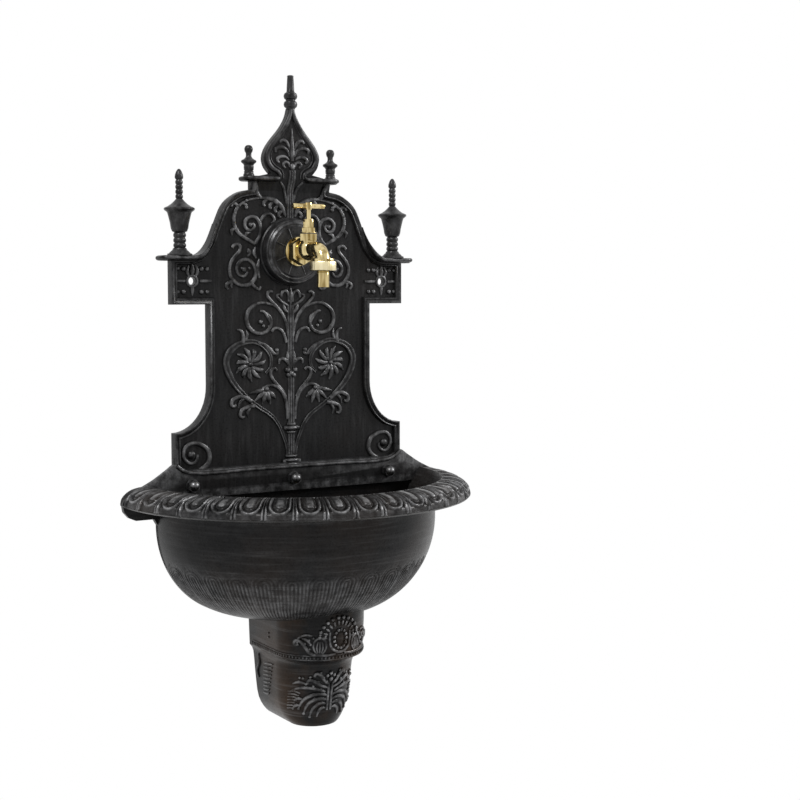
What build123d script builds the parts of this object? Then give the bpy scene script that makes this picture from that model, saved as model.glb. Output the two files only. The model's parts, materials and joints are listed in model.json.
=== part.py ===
from build123d import *
import os

# Garden wall fountain: cast iron back plate, half-round basin and pedestal, with a brass bib tap.
# Millimetres, +Z up, front towards -Y. The wall is the plane y = 0, and the origin lies on it
# midway between the two wall holes.

# Back plate: heights are measured up or down from the line of the wall holes
PLATE_DEPTH = 13.0
PANEL_T = 7.0
BORDER_W = 7.0
WALL_HOLE_X = 127.0
WALL_HOLE_R = 4.5
BLOCK_HALF_W = 154.0
BLOCK_UP = 23.0
BLOCK_DOWN = 27.0
SIDE_LEDGE_T = 6.0
SIDE_LEDGE_HALF_W = 169.0
SIDE_LEDGE_FROM = 112.0
LEDGE_DEPTH = 22.0
SHOULDER_H = 78.0
SHOULDER_FOOT_HALF_W = 118.0
SHOULDER_TOP_HALF_W = 88.0
SHOULDER_TOP_DROP = 20.0
SHOULDER_LOW_HALF_W = 101.5
SHOULDER_LOW_DROP = 51.0
SHOULDER_FOOT_SLOPE = 0.35
NECK_HALF_W = 51.5
NECK_H = 9.3
TOP_LEDGE_T = 6.2
TOP_LEDGE_HALF_W = 64.0
CROWN_H = 80.5
CROWN_HALF_W = 36.8
CROWN_WIDEST_H = 22.0
CROWN_WAIST_HALF_W = 16.6
CROWN_WAIST_H = 54.3
CROWN_FOOT_HALF_W = 23.4
CROWN_FOOT_SLOPE = 0.9
CROWN_NECK_HALF_W = 3.6
CROWN_T = 12.0
CROWN_BACK_GAP = 4.8
FLANK_HALF_W = 108.0
FLANK_H = 95.0
FLARE_H = 53.0
TAB_HALF_W = 152.0
TAB_H = 35.0
SEAT_DROP = 15.0
SKIRT_LAP = 6.0
SKIRT_TOP_HALF_W = 132.0
SKIRT_H = 26.0
SKIRT_HALF_W = 177.0
SKIRT_FALL = 19.0
SKIRT_FOOT_HALF_W = 160.0
SKIRT_RISE_SLOPE = 2.0
SKIRT_PEAK_SLOPE = 1.2
SKIRT_NOSE_SLOPE = 0.3
SKIRT_UNDERCUT_SLOPE = 10.0
SKIRT_FOOT_SLOPE = 0.5

# Raised disc behind the tap
TAP_UP = 35.0
DISC_R = 38.0
DISC_RISE = 12.0
DISC_WALL = 6.0
DISC_HOLLOW_R = 30.0

# Relief on the sunk field: flat scrolls, each given by points of its middle line, right of the stem
RELIEF_RISE = 2.2
RELIEF_ROOT = 1.0
SCROLL_W = 4.8
SCROLL_TIP_W = 2.6
HEART_SCROLL = (
    (5, -208), (6.5, -198), (17, -172), (42, -150), (66, -131), (81, -111),
    (85.5, -92), (75, -77), (55, -71), (35, -79), (26, -95), (34, -109),
)
STALK_VOLUTE = (
    (3, -62), (8, -45), (22, -28.5), (40, -25.5), (54, -33), (58, -46),
    (51, -58.5), (37, -61), (27, -53), (27, -43), (35, -37),
)
LEAF_STALK = ((5, -165), (6, -150), (12, -132), (22, -124.5), (33, -124.5), (42, -132))
DISC_SCROLL = (
    (67, 42), (70, 33), (77, 24), (79.5, 13), (74, 0), (61, -5),
    (48, 3), (48.5, 18), (60, 25), (70, 16), (63, 7),
)
SHOULDER_SCROLL = (
    (38, 98), (57, 94), (72, 81), (72, 62), (58, 49.5), (45, 47), (39.5, 60),
    (45, 74), (58, 72), (57, 61), (48, 63),
)
CORNER_VOLUTE = (
    (150, -205), (141, -219), (124, -220), (109, -210), (111, -195), (128, -187.5),
    (140, -197), (131, -210.5), (123, -203),
)
STEM_W = 9.2
STEM_FOOT = -218.0
STEM_TOP = -26.0
KNOP_Z = -175.5
KNOP_W = 21.0
KNOP_H = 7.0
BUD_Z = -16.0
BUD_HALF_W = 9.0
BUD_HALF_H = 11.0
FLOWER_X = 54.0
FLOWER_Z = -98.0
FLOWER_R = 16.5
FLOWER_NOTCH_R = 9.5
FLOWER_PETAL_COUNT = 12
CROWN_SINK = 3.4
CROWN_FIELD_FOOT_H = 5.0
CROWN_FIELD_FOOT_HALF_W = 12.0
CROWN_FIELD_HALF_W = 28.5
CROWN_FIELD_WAIST_HALF_W = 11.0
CROWN_FIELD_WAIST_H = 50.0
CROWN_FIELD_H = 66.0

# Finials: turned shapes with a flat back, each on a spigot
FINIAL_Y = -9.0
FLAT_BACK_GAP = 0.3
SPIGOT_GAP = 0.1
FINIAL_TIP_R = 0.5
URN_X = 142.5
URN_BASE_R = 14.4
URN_BASE_T = 2.3
URN_FOOT_R = 7.4
URN_FOOT_H = 6.3
URN_RING_COUNT = 3
URN_RING_R = 7.2
URN_RING_H = 5.8
URN_GROOVE_R = 6.0
URN_BELLY_R = 10.8
URN_BELLY_H = 10.6
URN_BODY_R = 13.6
URN_BODY_H = 11.5
URN_BRIM_R = 17.7
URN_BRIM_FLARE_H = 4.0
URN_BRIM_T = 2.0
URN_LID_R = 9.7
URN_LID_H = 4.0
URN_CONE_H = 6.0
URN_STEM_RING_COUNT = 4
URN_STEM_RING_R = 4.2
URN_STEM_RING_H = 5.4
URN_STEM_R = 3.5
URN_ACORN_R = 4.9
URN_ACORN_H = 2.6
URN_TIP_H = 10.0
URN_SPIGOT_R = 4.0
URN_SPIGOT_L = 5.0
SMALL_X = 54.5
SMALL_FOOT_R = 6.5
SMALL_FOOT_H = 2.0
SMALL_FOOT_SLOPE_H = 2.0
SMALL_BODY_R = 5.9
SMALL_BODY_H = 9.0
SMALL_BRIM_R = 9.0
SMALL_FLARE_H = 2.5
SMALL_BRIM_T = 3.0
SMALL_LID_H = 3.5
SMALL_NECK_R = 3.3
SMALL_NECK_H = 9.0
SMALL_BALL_R = 5.0
SMALL_SPIGOT_R = 3.0
SMALL_SPIGOT_L = 5.0
SPIRE_FOOT_R = 5.4
SPIRE_FOOT_H = 0.6
SPIRE_BEAD_COUNT = 2
SPIRE_BEAD_R = 8.2
SPIRE_BEAD_H = 9.6
SPIRE_BEAD_ROUND = 1.0
SPIRE_NECK_R = 5.4
SPIRE_SHAFT_R = 4.5
SPIRE_SHAFT_H = 18.4
SPIRE_TOP_R = 3.6
SPIRE_CAP_R = 2.4
SPIRE_CAP_H = 1.4
SPIRE_SPIGOT_R = 2.0
SPIRE_SPIGOT_L = 10.0

# Basin: a half-round bowl with a short straight run back to the wall
BASIN_CENTRE_Y = -10.0
BASIN_WALL = 6.0
BACK_TOP_HALF_W = 148.0
RIM_BELOW_SEAT = 9.5
RIM_INNER_R = 180.5
RIM_FLAT_W = 4.0
RIM_CROWN_R = 202.0
RIM_CROWN_DROP = 3.0
RIM_R = 215.3
RIM_FALL = 18.0
RIM_LIP_R = 213.0
RIM_LIP_DROP = 4.0
RIM_THROAT_DROP = 5.5
RIM_INSIDE_FALL = 20.0
RIM_LIP_SLOPE = 0.5
RIM_NOSE_SLOPE = 10.0
RIM_CROWN_SLOPE = 0.1
EGG_COUNT = 20
EGG_GROOVE_R = 1.5
EGG_WIDTH_RATIO = 0.8
EGG_OUTLINE_RATIOS = (
    (-1, 0.05), (-1, 0.3), (-1, 0.58), (-0.72, 0.83), (0, 0.95), (0.72, 0.83), (1, 0.58), (1, 0.3), (1, 0.05),
)
EAR_R = 199.0
EAR_DROP = 20.0
EAR_IN_R = 177.0
BOWL_R = 172.5
BOWL_STRAIGHT = 18.0
BOWL_DEPTH = 114.0
BOWL_FLOOR_R = 66.0

# Pedestal: a U-shaped hollow bracket, open at the back and below, that draws in towards the wall
PED_WALL = 6.0
PED_TOP_PLATE = 8.0
PED_TOP_HALF_W = 55.2
PED_TOP_FRONT = 126.0
PED_COLLAR_HALF_W = 53.8
PED_COLLAR_FRONT = 123.5
PED_COLLAR_H = 41.0
PED_COVE_H = 13.0
PED_NECK_HALF_W = 48.5
PED_NECK_FRONT = 104.5
PED_SHANK_H = 52.0
PED_HEEL_HALF_W = 43.5
PED_HEEL_FRONT = 96.0
PED_HEEL_H = 21.0
PED_FOOT_HALF_W = 30.0
PED_FOOT_FRONT = 88.0

# Screws, washers and dome nuts through the skirt
SKIRT_SCREW_X = 132.5
SKIRT_SCREW_DROP = 11.0
M8_R = 4.0
M8_HOLE_GAP = 0.4
M8_NUT_AF = 13.0
M8_NUT_T = 6.5
CSK_HEAD_R = 8.0
CSK_HEAD_H = 4.0
WASHER_R = 8.0
WASHER_T = 1.6
DOME_R = 6.0
DOME_TIP_WALL = 3.0
SCREW_IN_DOME = 8.0
THREAD_GAP = 0.05

# Bolts from the basin floor into the pedestal
PED_BOLT_X = 38.0
PED_BOLT_HEAD_H = 5.3
PED_BOLT_SPARE = 2.5
PED_SEAL_T = 2.0

# Waste in the basin floor, and its plug
WASTE_Y = -48.0
WASTE_R = 16.0
WASTE_BORE_R = 13.0
WASTE_HOLE_GAP = 0.4
WASTE_FLANGE_R = 26.0
WASTE_FLANGE_T = 3.0
WASTE_SEAL_T = 2.0
WASTE_THREAD_SPARE = 5.0
WASTE_TAIL_R = 15.0
WASTE_TAIL_L = 49.0
WASTE_WASHER_T = 2.0
WASTE_NUT_AF = 44.0
WASTE_NUT_T = 8.0
PLUG_GAP = 0.3
PLUG_CAP_R = 16.5
PLUG_CAP_T = 3.0
PLUG_STEM_L = 8.0
PLUG_KNOB_R = 5.0
PLUG_KNOB_H = 9.0

# Tap body: inlet along -Y at tap height, spindle on its own vertical axis
SHANK_R = 10.48
SHANK_HOLE_GAP = 0.3
INLET_R = 9.9
INLET_L = 7.0
TAP_WASHER_R = 17.0
TAP_WASHER_T = 2.0
TAP_BACK_WASHER_R = 18.0
TAP_BACK_NUT_AF = 27.0
TAP_BACK_NUT_T = 8.0
TAP_FLANGE_R = 17.0
TAP_FLANGE_T = 2.5
TAP_HEX_AF = 28.0
TAP_HEX_L = 12.5
BARREL_R = 10.5
SPINDLE_Y = -54.0
BULB_R = 12.5
BULB_UP = 1.5
NECK_R = 9.2
COLLAR_AF = 19.0
COLLAR_UP = 12.0
COLLAR_H = 7.8
CHAMBER_R = 8.2
SEAT_UP = 1.0
SEAT_R = 4.0
INLET_BORE_R = 4.5
INLET_BORE_DROP = 4.0
INLET_BORE_OVERRUN = 1.0
SPOUT_R = 8.5
SPOUT_BORE_R = 4.5
SPOUT_BORE_OVERRUN = 1.0
SPOUT_UP = 2.0
SPOUT_BEND_R = 15.5
OUTLET_Y = -88.5
OUTLET_THREAD_R = 13.1
OUTLET_THREAD_L = 6.7
OUTLET_END_DROP = 16.2

# Bonnet, gland and spindle
BONNET_WASHER_T = 1.0
BONNET_HEX_AF = 15.0
BONNET_HEX_H = 6.0
BONNET_SPIGOT_L = 7.0
BONNET_NECK_R = 4.8
BONNET_NECK_H = 6.0
BONNET_FLOOR_T = 2.5
SPINDLE_R = 2.9
SPINDLE_THREAD_R = 4.6
SPINDLE_RUN_GAP = 0.3
VALVE_TRAVEL = 5.0
PACKING_R = 4.0
PACKING_H = 4.0
GLAND_AF = 12.0
GLAND_NUT_H = 7.0
GLAND_RIM_R = 6.3
GLAND_RIM_H = 2.9
TEE_UP = 52.0
TEE_BAR_R = 3.1
TEE_BAR_L = 41.0
TEE_HEAD_R = 4.2
TEE_HEAD_H = 8.0
JUMPER_R = 6.6
JUMPER_T = 2.0
JUMPER_WASHER_R = 6.2
JUMPER_WASHER_T = 2.6
JUMPER_STEM_R = 1.8
JUMPER_STEM_L = 7.0

# Union nut and hose tail
UNION_R = 15.2
UNION_H = 12.8
UNION_LIP_T = 2.3
UNION_RUN_GAP = 0.3
TAIL_R = 7.2
TAIL_BORE_R = 5.0
TAIL_L = 18.0
TAIL_NECK_R = 7.0
TAIL_NECK_L = 3.3
TAIL_FLANGE_R = 11.5
TAIL_FLANGE_T = 2.0
HOSE_WASHER_R = 12.3
HOSE_WASHER_T = 2.2
HOSE_WASHER_BORE_R = 5.5

# Levels worked out from the heights above
LEDGE_TOP = BLOCK_UP + SIDE_LEDGE_T
SHOULDER_TOP = LEDGE_TOP + SHOULDER_H
NECK_TOP = SHOULDER_TOP + NECK_H
CROWN_FOOT = NECK_TOP + TOP_LEDGE_T
CROWN_TOP = CROWN_FOOT + CROWN_H
FLARE_TOP = -BLOCK_DOWN - FLANK_H
TAB_TOP = FLARE_TOP - FLARE_H
SKIRT_PEAK = TAB_TOP - TAB_H
SEAT = SKIRT_PEAK - SEAT_DROP
SKIRT_TOP = SEAT + SKIRT_LAP
SKIRT_FOOT = SEAT - SKIRT_H
SCREW_Z = SEAT - SKIRT_SCREW_DROP
RIM_TOP = SEAT - RIM_BELOW_SEAT
RIM_NOSE = RIM_TOP - RIM_FALL
RIM_LIP = RIM_NOSE - RIM_LIP_DROP
RIM_THROAT = RIM_LIP - RIM_THROAT_DROP
EAR_FOOT = RIM_NOSE - EAR_DROP
BOWL_MOUTH = RIM_THROAT - BOWL_STRAIGHT
BOWL_FOOT = BOWL_MOUTH - BOWL_DEPTH
BASIN_FLOOR = BOWL_FOOT + BASIN_WALL
PED_PLATE_FOOT = BOWL_FOOT - PED_TOP_PLATE
PED_COLLAR_FOOT = BOWL_FOOT - PED_COLLAR_H
PED_NECK = PED_COLLAR_FOOT - PED_COVE_H
PED_HEEL = PED_NECK - PED_SHANK_H
PED_FOOT = PED_HEEL - PED_HEEL_H
CROWN_MIDDLE = -CROWN_BACK_GAP - CROWN_T / 2
CROWN_FACE = -CROWN_BACK_GAP - CROWN_T
CROWN_GROUND = CROWN_FACE + CROWN_SINK

FIELD = -PANEL_T
DISC_FACE = -PLATE_DEPTH - DISC_RISE
DISC_INSIDE = DISC_FACE + DISC_WALL
TAP_FLANGE_BACK = DISC_FACE - TAP_WASHER_T
TAP_NUT_FRONT = DISC_INSIDE + TAP_WASHER_T
TAP_NUT_BACK = TAP_NUT_FRONT + TAP_BACK_NUT_T
INLET_END = TAP_NUT_BACK + INLET_L
TAP_HEX_BACK = TAP_FLANGE_BACK - TAP_FLANGE_T
TAP_HEX_FACE = TAP_HEX_BACK - TAP_HEX_L
VALVE_SEAT = TAP_UP + SEAT_UP
COLLAR_FOOT = TAP_UP + COLLAR_UP
COLLAR_TOP = COLLAR_FOOT + COLLAR_H
BONNET_FOOT = COLLAR_TOP + BONNET_WASHER_T
BONNET_TOP = BONNET_FOOT + BONNET_HEX_H
BONNET_END = BONNET_FOOT - BONNET_SPIGOT_L
NECK_END = BONNET_TOP + BONNET_NECK_H
PACKING_FOOT = NECK_END - PACKING_H - GLAND_RIM_H
THREAD_CEILING = PACKING_FOOT - BONNET_FLOOR_T
SPINDLE_THREAD_TOP = THREAD_CEILING - VALVE_TRAVEL - SPINDLE_RUN_GAP
GLAND_FOOT = BONNET_TOP
GLAND_TOP = GLAND_FOOT + GLAND_NUT_H + GLAND_RIM_H
TEE_Z = TAP_UP + TEE_UP
JUMPER_FOOT = VALVE_SEAT + SPINDLE_RUN_GAP + JUMPER_WASHER_T
JUMPER_TOP = JUMPER_FOOT + JUMPER_T
SPOUT_Z = TAP_UP + SPOUT_UP
OUTLET_END = TAP_UP - OUTLET_END_DROP
HOSE_WASHER_TOP = OUTLET_END - UNION_RUN_GAP
TAIL_TOP = HOSE_WASHER_TOP - HOSE_WASHER_T
TAIL_FLANGE_FOOT = TAIL_TOP - TAIL_FLANGE_T
TAIL_SHOULDER = TAIL_FLANGE_FOOT - TAIL_NECK_L
TAIL_END = TAIL_SHOULDER - TAIL_L
UNION_LIP_TOP = TAIL_FLANGE_FOOT - UNION_RUN_GAP
UNION_FOOT = UNION_LIP_TOP - UNION_LIP_T
CUT = 400.0
FULL_TURN = 360.0
HALF_TURN = 180.0


def rod_z(r, low, high, x=0.0, y=0.0):
    """Upright round bar between two heights."""
    return Pos(x, y, low) * Cylinder(r, high - low, align=(Align.CENTER, Align.CENTER, Align.MIN))


def rod_y(r, back, front, x=0.0, z=0.0):
    """Round bar that runs forward from back to front, along -Y."""
    bar = Cylinder(r, back - front, align=(Align.CENTER, Align.CENTER, Align.MIN))
    return Pos(x, back, z) * Rot(90, 0, 0) * bar


def rod_x(r, length, y, z):
    """Round bar across the part, centred on x = 0."""
    return Pos(0, y, z) * Rot(0, 90, 0) * Cylinder(r, length)


def hex_z(across_flats, low, high, x=0.0, y=0.0):
    """Upright hexagon between two heights."""
    face = RegularPolygon(across_flats / 2, 6, major_radius=False)
    return Pos(x, y, low) * extrude(face, high - low)


def hex_y(across_flats, back, front, x=0.0, z=0.0):
    """Hexagon that runs forward from back to front, with a corner at the top."""
    face = RegularPolygon(across_flats / 2, 6, major_radius=False, rotation=90)
    return extrude(Plane((x, back, z), x_dir=(1, 0, 0), z_dir=(0, -1, 0)) * face, back - front)


def slab(right_edges, back, front):
    """Symmetrical plate between two depths, from the edges of its right half."""
    right = Curve() + right_edges
    face = make_face([*right.edges(), *mirror(right, Plane.YZ).edges()])
    return extrude(Plane((0, back, 0), x_dir=(1, 0, 0), z_dir=(0, -1, 0)) * face, back - front)


def half_round(edges, centre_y):
    """Half a turned shape in front of centre_y, with its section carried straight back to the wall."""
    right = Curve() + edges
    ends = [right.edges()[0] @ 0, right.edges()[-1] @ 1]
    face = make_face([*right.edges(), Line(ends[1], ends[0])])
    section = Plane((0, centre_y, 0), x_dir=(1, 0, 0), z_dir=(0, -1, 0)) * face
    turned_half = revolve(section, Axis((0, centre_y, 0), (0, 0, -1)), 180)
    right_run = extrude(section, centre_y, dir=(0, -1, 0))
    return turned_half + right_run + mirror(right_run, Plane.YZ)


def turned(steps, x, y, z):
    """Turned solid on an upright axis, from (radius, rise) steps, with a flat back near the wall."""
    height = 0.0
    profile = []
    for r, rise in steps:
        height += rise
        profile.append((r, height))
    outline = Polyline((0, 0), *profile, (0, height), close=True)
    body = Pos(x, y, z) * revolve(Plane.XZ * make_face(outline), Axis.Z)
    return body - behind_finial(x, z)


def behind_finial(x, z):
    """Everything behind the flat back of a finial."""
    block = Box(CUT, CUT, CUT, align=(Align.CENTER, Align.MIN, Align.CENTER))
    return Pos(x, -FLAT_BACK_GAP, z) * block


def panel_edges(inset):
    """Right edge of the plate from the neck to the seat, its outer sides drawn in by the inset."""
    foot_w = SHOULDER_FOOT_HALF_W - inset
    block_w = BLOCK_HALF_W - inset
    flank_w = FLANK_HALF_W - inset
    tab_w = TAB_HALF_W - inset
    neck_w = NECK_HALF_W - inset
    shoulder_top = SHOULDER_TOP - inset
    shoulder = Spline(
        (neck_w, shoulder_top),
        (SHOULDER_TOP_HALF_W - inset, SHOULDER_TOP - SHOULDER_TOP_DROP),
        (SHOULDER_LOW_HALF_W - inset, SHOULDER_TOP - SHOULDER_LOW_DROP),
        (foot_w, LEDGE_TOP),
        tangents=[(1, 0), (1, -SHOULDER_FOOT_SLOPE)],
    )
    flare = EllipticalCenterArc(
        (tab_w, FLARE_TOP), TAB_HALF_W - FLANK_HALF_W, FLARE_H + inset, start_angle=180, arc_size=90
    )
    block = Polyline(
        (foot_w, LEDGE_TOP),
        (foot_w, BLOCK_UP),
        (block_w, BLOCK_UP),
        (block_w, inset - BLOCK_DOWN),
        (flank_w, inset - BLOCK_DOWN),
        (flank_w, FLARE_TOP),
    )
    neck = Polyline((0, NECK_TOP), (neck_w, NECK_TOP), (neck_w, shoulder_top))
    tab = Polyline(flare @ 1, (tab_w, SEAT), (0, SEAT))
    return [neck, shoulder, block, flare, tab]


def crown_edges():
    """Right edge of the ogee crown above the top ledge."""
    widest = (CROWN_HALF_W, CROWN_FOOT + CROWN_WIDEST_H)
    waist = (CROWN_WAIST_HALF_W, CROWN_FOOT + CROWN_WAIST_H)
    neck = (CROWN_NECK_HALF_W, CROWN_TOP)
    foot = (CROWN_FOOT_HALF_W, CROWN_FOOT)
    return [
        Line((0, CROWN_TOP), neck),
        Spline(neck, waist, widest, tangents=[(0, -1), (0, -1)]),
        Spline(widest, foot, tangents=[(0, -1), (-1, -CROWN_FOOT_SLOPE)]),
        Line(foot, (0, CROWN_FOOT)),
    ]


def crown_field_edges():
    """Right edge of the sunk field of the crown."""
    foot = (CROWN_FIELD_FOOT_HALF_W, CROWN_FOOT + CROWN_FIELD_FOOT_H)
    widest = (CROWN_FIELD_HALF_W, CROWN_FOOT + CROWN_WIDEST_H)
    waist = (CROWN_FIELD_WAIST_HALF_W, CROWN_FOOT + CROWN_FIELD_WAIST_H)
    tip = (0, CROWN_FOOT + CROWN_FIELD_H)
    return [Spline(tip, waist, widest, foot), Line(foot, (0, CROWN_FOOT + CROWN_FIELD_FOOT_H))]


def raised(face):
    """A flat shape that stands on the sunk field, rooted in it."""
    ground = Plane((0, FIELD + RELIEF_ROOT, 0), x_dir=(1, 0, 0), z_dir=(0, -1, 0))
    return extrude(ground * face, RELIEF_ROOT + RELIEF_RISE)


def scroll(points):
    """Flat scroll along its middle line, narrower towards its tip."""
    line = Spline(*points)
    count = 4 * len(points)
    sides = {1: [], -1: []}
    for k in range(count + 1):
        along = line % (k / count)
        half_w = (SCROLL_W + (SCROLL_TIP_W - SCROLL_W) * k / count) / 2
        for side, edge in sides.items():
            edge.append(line @ (k / count) + Vector(-along.Y, along.X) * (side * half_w))
    left, right = (Spline(*edge) for edge in sides.values())
    return raised(make_face([left, Line(left @ 1, right @ 1), right, Line(right @ 0, left @ 0)]))


def flower():
    """Open flower inside the heart scroll, as a flat star of petals."""
    petals = 2 * FLOWER_PETAL_COUNT
    tips = []
    for k in range(petals):
        r = FLOWER_R if k % 2 else FLOWER_NOTCH_R
        tips.append(Vector(FLOWER_X, FLOWER_Z) + Vector(r, 0).rotate(Axis.Z, FULL_TURN * k / petals))
    return raised(make_face(Polyline(*tips, close=True)))


def relief():
    """Stem with its knop and bud, and the scrolls and flowers on both sides of it."""
    lines = (HEART_SCROLL, STALK_VOLUTE, LEAF_STALK, DISC_SCROLL, SHOULDER_SCROLL, CORNER_VOLUTE)
    right = [*(scroll(line) for line in lines), flower()]
    stem = Pos(0, (STEM_FOOT + STEM_TOP) / 2) * Rectangle(STEM_W, STEM_TOP - STEM_FOOT)
    stem += Pos(0, KNOP_Z) * Rectangle(KNOP_W, KNOP_H)
    stem += Pos(0, BUD_Z) * Ellipse(BUD_HALF_W, BUD_HALF_H)
    return [raised(stem), *right, *(mirror(piece, Plane.YZ) for piece in right)]


def skirt_edges():
    """Right edge of the skirt, from its top, up to its peak at the tab and down to its foot in the basin."""
    top = (SKIRT_TOP_HALF_W, SKIRT_TOP)
    peak = (TAB_HALF_W, SKIRT_PEAK)
    shoulder = (SKIRT_HALF_W, SKIRT_PEAK - SKIRT_FALL)
    foot = (SKIRT_FOOT_HALF_W, SKIRT_FOOT)
    return [
        Line((0, SKIRT_TOP), top),
        Spline(top, peak, tangents=[(1, 0), (1, SKIRT_RISE_SLOPE)]),
        Spline(peak, shoulder, tangents=[(1, -SKIRT_PEAK_SLOPE), (1, -SKIRT_NOSE_SLOPE)]),
        Spline(shoulder, foot, tangents=[(-1, -SKIRT_UNDERCUT_SLOPE), (-1, -SKIRT_FOOT_SLOPE)]),
        Line(foot, (0, SKIRT_FOOT)),
    ]


def ledge(from_x, to_x, low, high):
    """Moulded shelf with a rounded outer end, seen from above."""
    end_r = LEDGE_DEPTH / 2
    end_x = to_x - end_r
    run = Box(end_x - from_x, LEDGE_DEPTH, high - low, align=(Align.MIN, Align.MAX, Align.MIN))
    return Pos(from_x, 0, low) * run + rod_z(end_r, low, high, end_x, -end_r)


def both_sides(piece):
    """A piece and its mirror image."""
    return piece + mirror(piece, Plane.YZ)


def back_plate():
    """The casting on the wall: sunk field with a raised border, crown, ledges, blocks, disc and skirt."""
    plate = slab(panel_edges(0), 0, -PLATE_DEPTH) - slab(panel_edges(BORDER_W), FIELD, -PLATE_DEPTH)
    plate += relief()
    crown = slab(crown_edges(), -CROWN_BACK_GAP, CROWN_FACE)
    plate += crown - slab(crown_field_edges(), CROWN_GROUND, CROWN_FACE)
    plate += both_sides(ledge(SIDE_LEDGE_FROM, SIDE_LEDGE_HALF_W, BLOCK_UP, LEDGE_TOP))
    plate += both_sides(ledge(0, TOP_LEDGE_HALF_W, NECK_TOP, CROWN_FOOT))
    plate += slab(skirt_edges(), FIELD, -PLATE_DEPTH)
    plate += rod_y(DISC_R, 0, DISC_FACE, z=TAP_UP)
    plate -= rod_y(DISC_HOLLOW_R, 0, DISC_INSIDE, z=TAP_UP)
    plate -= rod_y(SHANK_R + SHANK_HOLE_GAP, 0, DISC_FACE, z=TAP_UP)
    for x in (-WALL_HOLE_X, WALL_HOLE_X):
        plate -= rod_y(WALL_HOLE_R, 0, FIELD, x)
    for x in (-SKIRT_SCREW_X, 0, SKIRT_SCREW_X):
        plate -= rod_y(M8_R + M8_HOLE_GAP, FIELD, -PLATE_DEPTH, x, SCREW_Z)
    for x in (-URN_X, URN_X):
        plate -= rod_z(URN_SPIGOT_R + SPIGOT_GAP, LEDGE_TOP - URN_SPIGOT_L, LEDGE_TOP, x, FINIAL_Y)
    for x in (-SMALL_X, SMALL_X):
        plate -= rod_z(SMALL_SPIGOT_R + SPIGOT_GAP, CROWN_FOOT - SMALL_SPIGOT_L, CROWN_FOOT, x, FINIAL_Y)
    plate -= rod_z(SPIRE_SPIGOT_R + SPIGOT_GAP, CROWN_TOP - SPIRE_SPIGOT_L, CROWN_TOP, 0, CROWN_MIDDLE)
    return plate


def ring(r, groove_r, height):
    """One turned ring and the groove above it, as steps of a profile."""
    return [(r, height / 4), (r, height / 2), (groove_r, height / 4)]


def urn_finial(x):
    """Lidded urn on a ringed foot, tipped with an acorn on a ringed stem."""
    steps = [
        (URN_BASE_R, 0),
        (URN_BASE_R, URN_BASE_T),
        (URN_FOOT_R, URN_FOOT_H),
        *ring(URN_RING_R, URN_GROOVE_R, URN_RING_H) * URN_RING_COUNT,
        (URN_BELLY_R, URN_BELLY_H),
        (URN_BODY_R, URN_BODY_H),
        (URN_BRIM_R, URN_BRIM_FLARE_H),
        (URN_BRIM_R, URN_BRIM_T),
        (URN_LID_R, URN_LID_H),
        (URN_STEM_R, URN_CONE_H),
        *ring(URN_STEM_RING_R, URN_STEM_R, URN_STEM_RING_H) * URN_STEM_RING_COUNT,
        (URN_ACORN_R, URN_ACORN_H),
        (FINIAL_TIP_R, URN_TIP_H),
    ]
    spigot = rod_z(URN_SPIGOT_R, LEDGE_TOP - URN_SPIGOT_L, LEDGE_TOP, x, FINIAL_Y)
    return turned(steps, x, FINIAL_Y, LEDGE_TOP) + spigot


def small_finial(x):
    """Brimmed post with a ball on a neck."""
    steps = [
        (SMALL_FOOT_R, 0),
        (SMALL_FOOT_R, SMALL_FOOT_H),
        (SMALL_BODY_R, SMALL_FOOT_SLOPE_H),
        (SMALL_BODY_R, SMALL_BODY_H),
        (SMALL_BRIM_R, SMALL_FLARE_H),
        (SMALL_BRIM_R, SMALL_BRIM_T),
        (SMALL_NECK_R, SMALL_LID_H),
        (SMALL_NECK_R, SMALL_NECK_H),
    ]
    ball_z = CROWN_FOOT + sum(rise for r, rise in steps)
    ball = Pos(x, FINIAL_Y, ball_z) * Sphere(SMALL_BALL_R)
    spigot = rod_z(SMALL_SPIGOT_R, CROWN_FOOT - SMALL_SPIGOT_L, CROWN_FOOT, x, FINIAL_Y)
    return turned(steps, x, FINIAL_Y, CROWN_FOOT) + ball + spigot


def crown_spire():
    """Beaded post on the crown."""
    bead = [
        (SPIRE_BEAD_R - SPIRE_BEAD_ROUND, SPIRE_BEAD_H / 4),
        (SPIRE_BEAD_R, SPIRE_BEAD_H / 4),
        (SPIRE_BEAD_R - SPIRE_BEAD_ROUND, SPIRE_BEAD_H / 4),
        (SPIRE_NECK_R, SPIRE_BEAD_H / 4),
    ]
    steps = [
        (SPIRE_FOOT_R, 0),
        (SPIRE_NECK_R, SPIRE_FOOT_H),
        *bead * SPIRE_BEAD_COUNT,
        (SPIRE_SHAFT_R, 0),
        (SPIRE_TOP_R, SPIRE_SHAFT_H),
        (SPIRE_CAP_R, SPIRE_CAP_H),
    ]
    spigot = rod_z(SPIRE_SPIGOT_R, CROWN_TOP - SPIRE_SPIGOT_L, CROWN_TOP, 0, CROWN_MIDDLE)
    return turned(steps, 0, CROWN_MIDDLE, CROWN_TOP) + spigot


def bowl_edges():
    """Outside of the bowl from the middle of its foot to its mouth."""
    side = EllipticalCenterArc(
        (BOWL_FLOOR_R, BOWL_MOUTH), BOWL_R - BOWL_FLOOR_R, BOWL_DEPTH, start_angle=270, arc_size=90
    )
    return [Line((0, BOWL_FOOT), (BOWL_FLOOR_R, BOWL_FOOT)), side]


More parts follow.
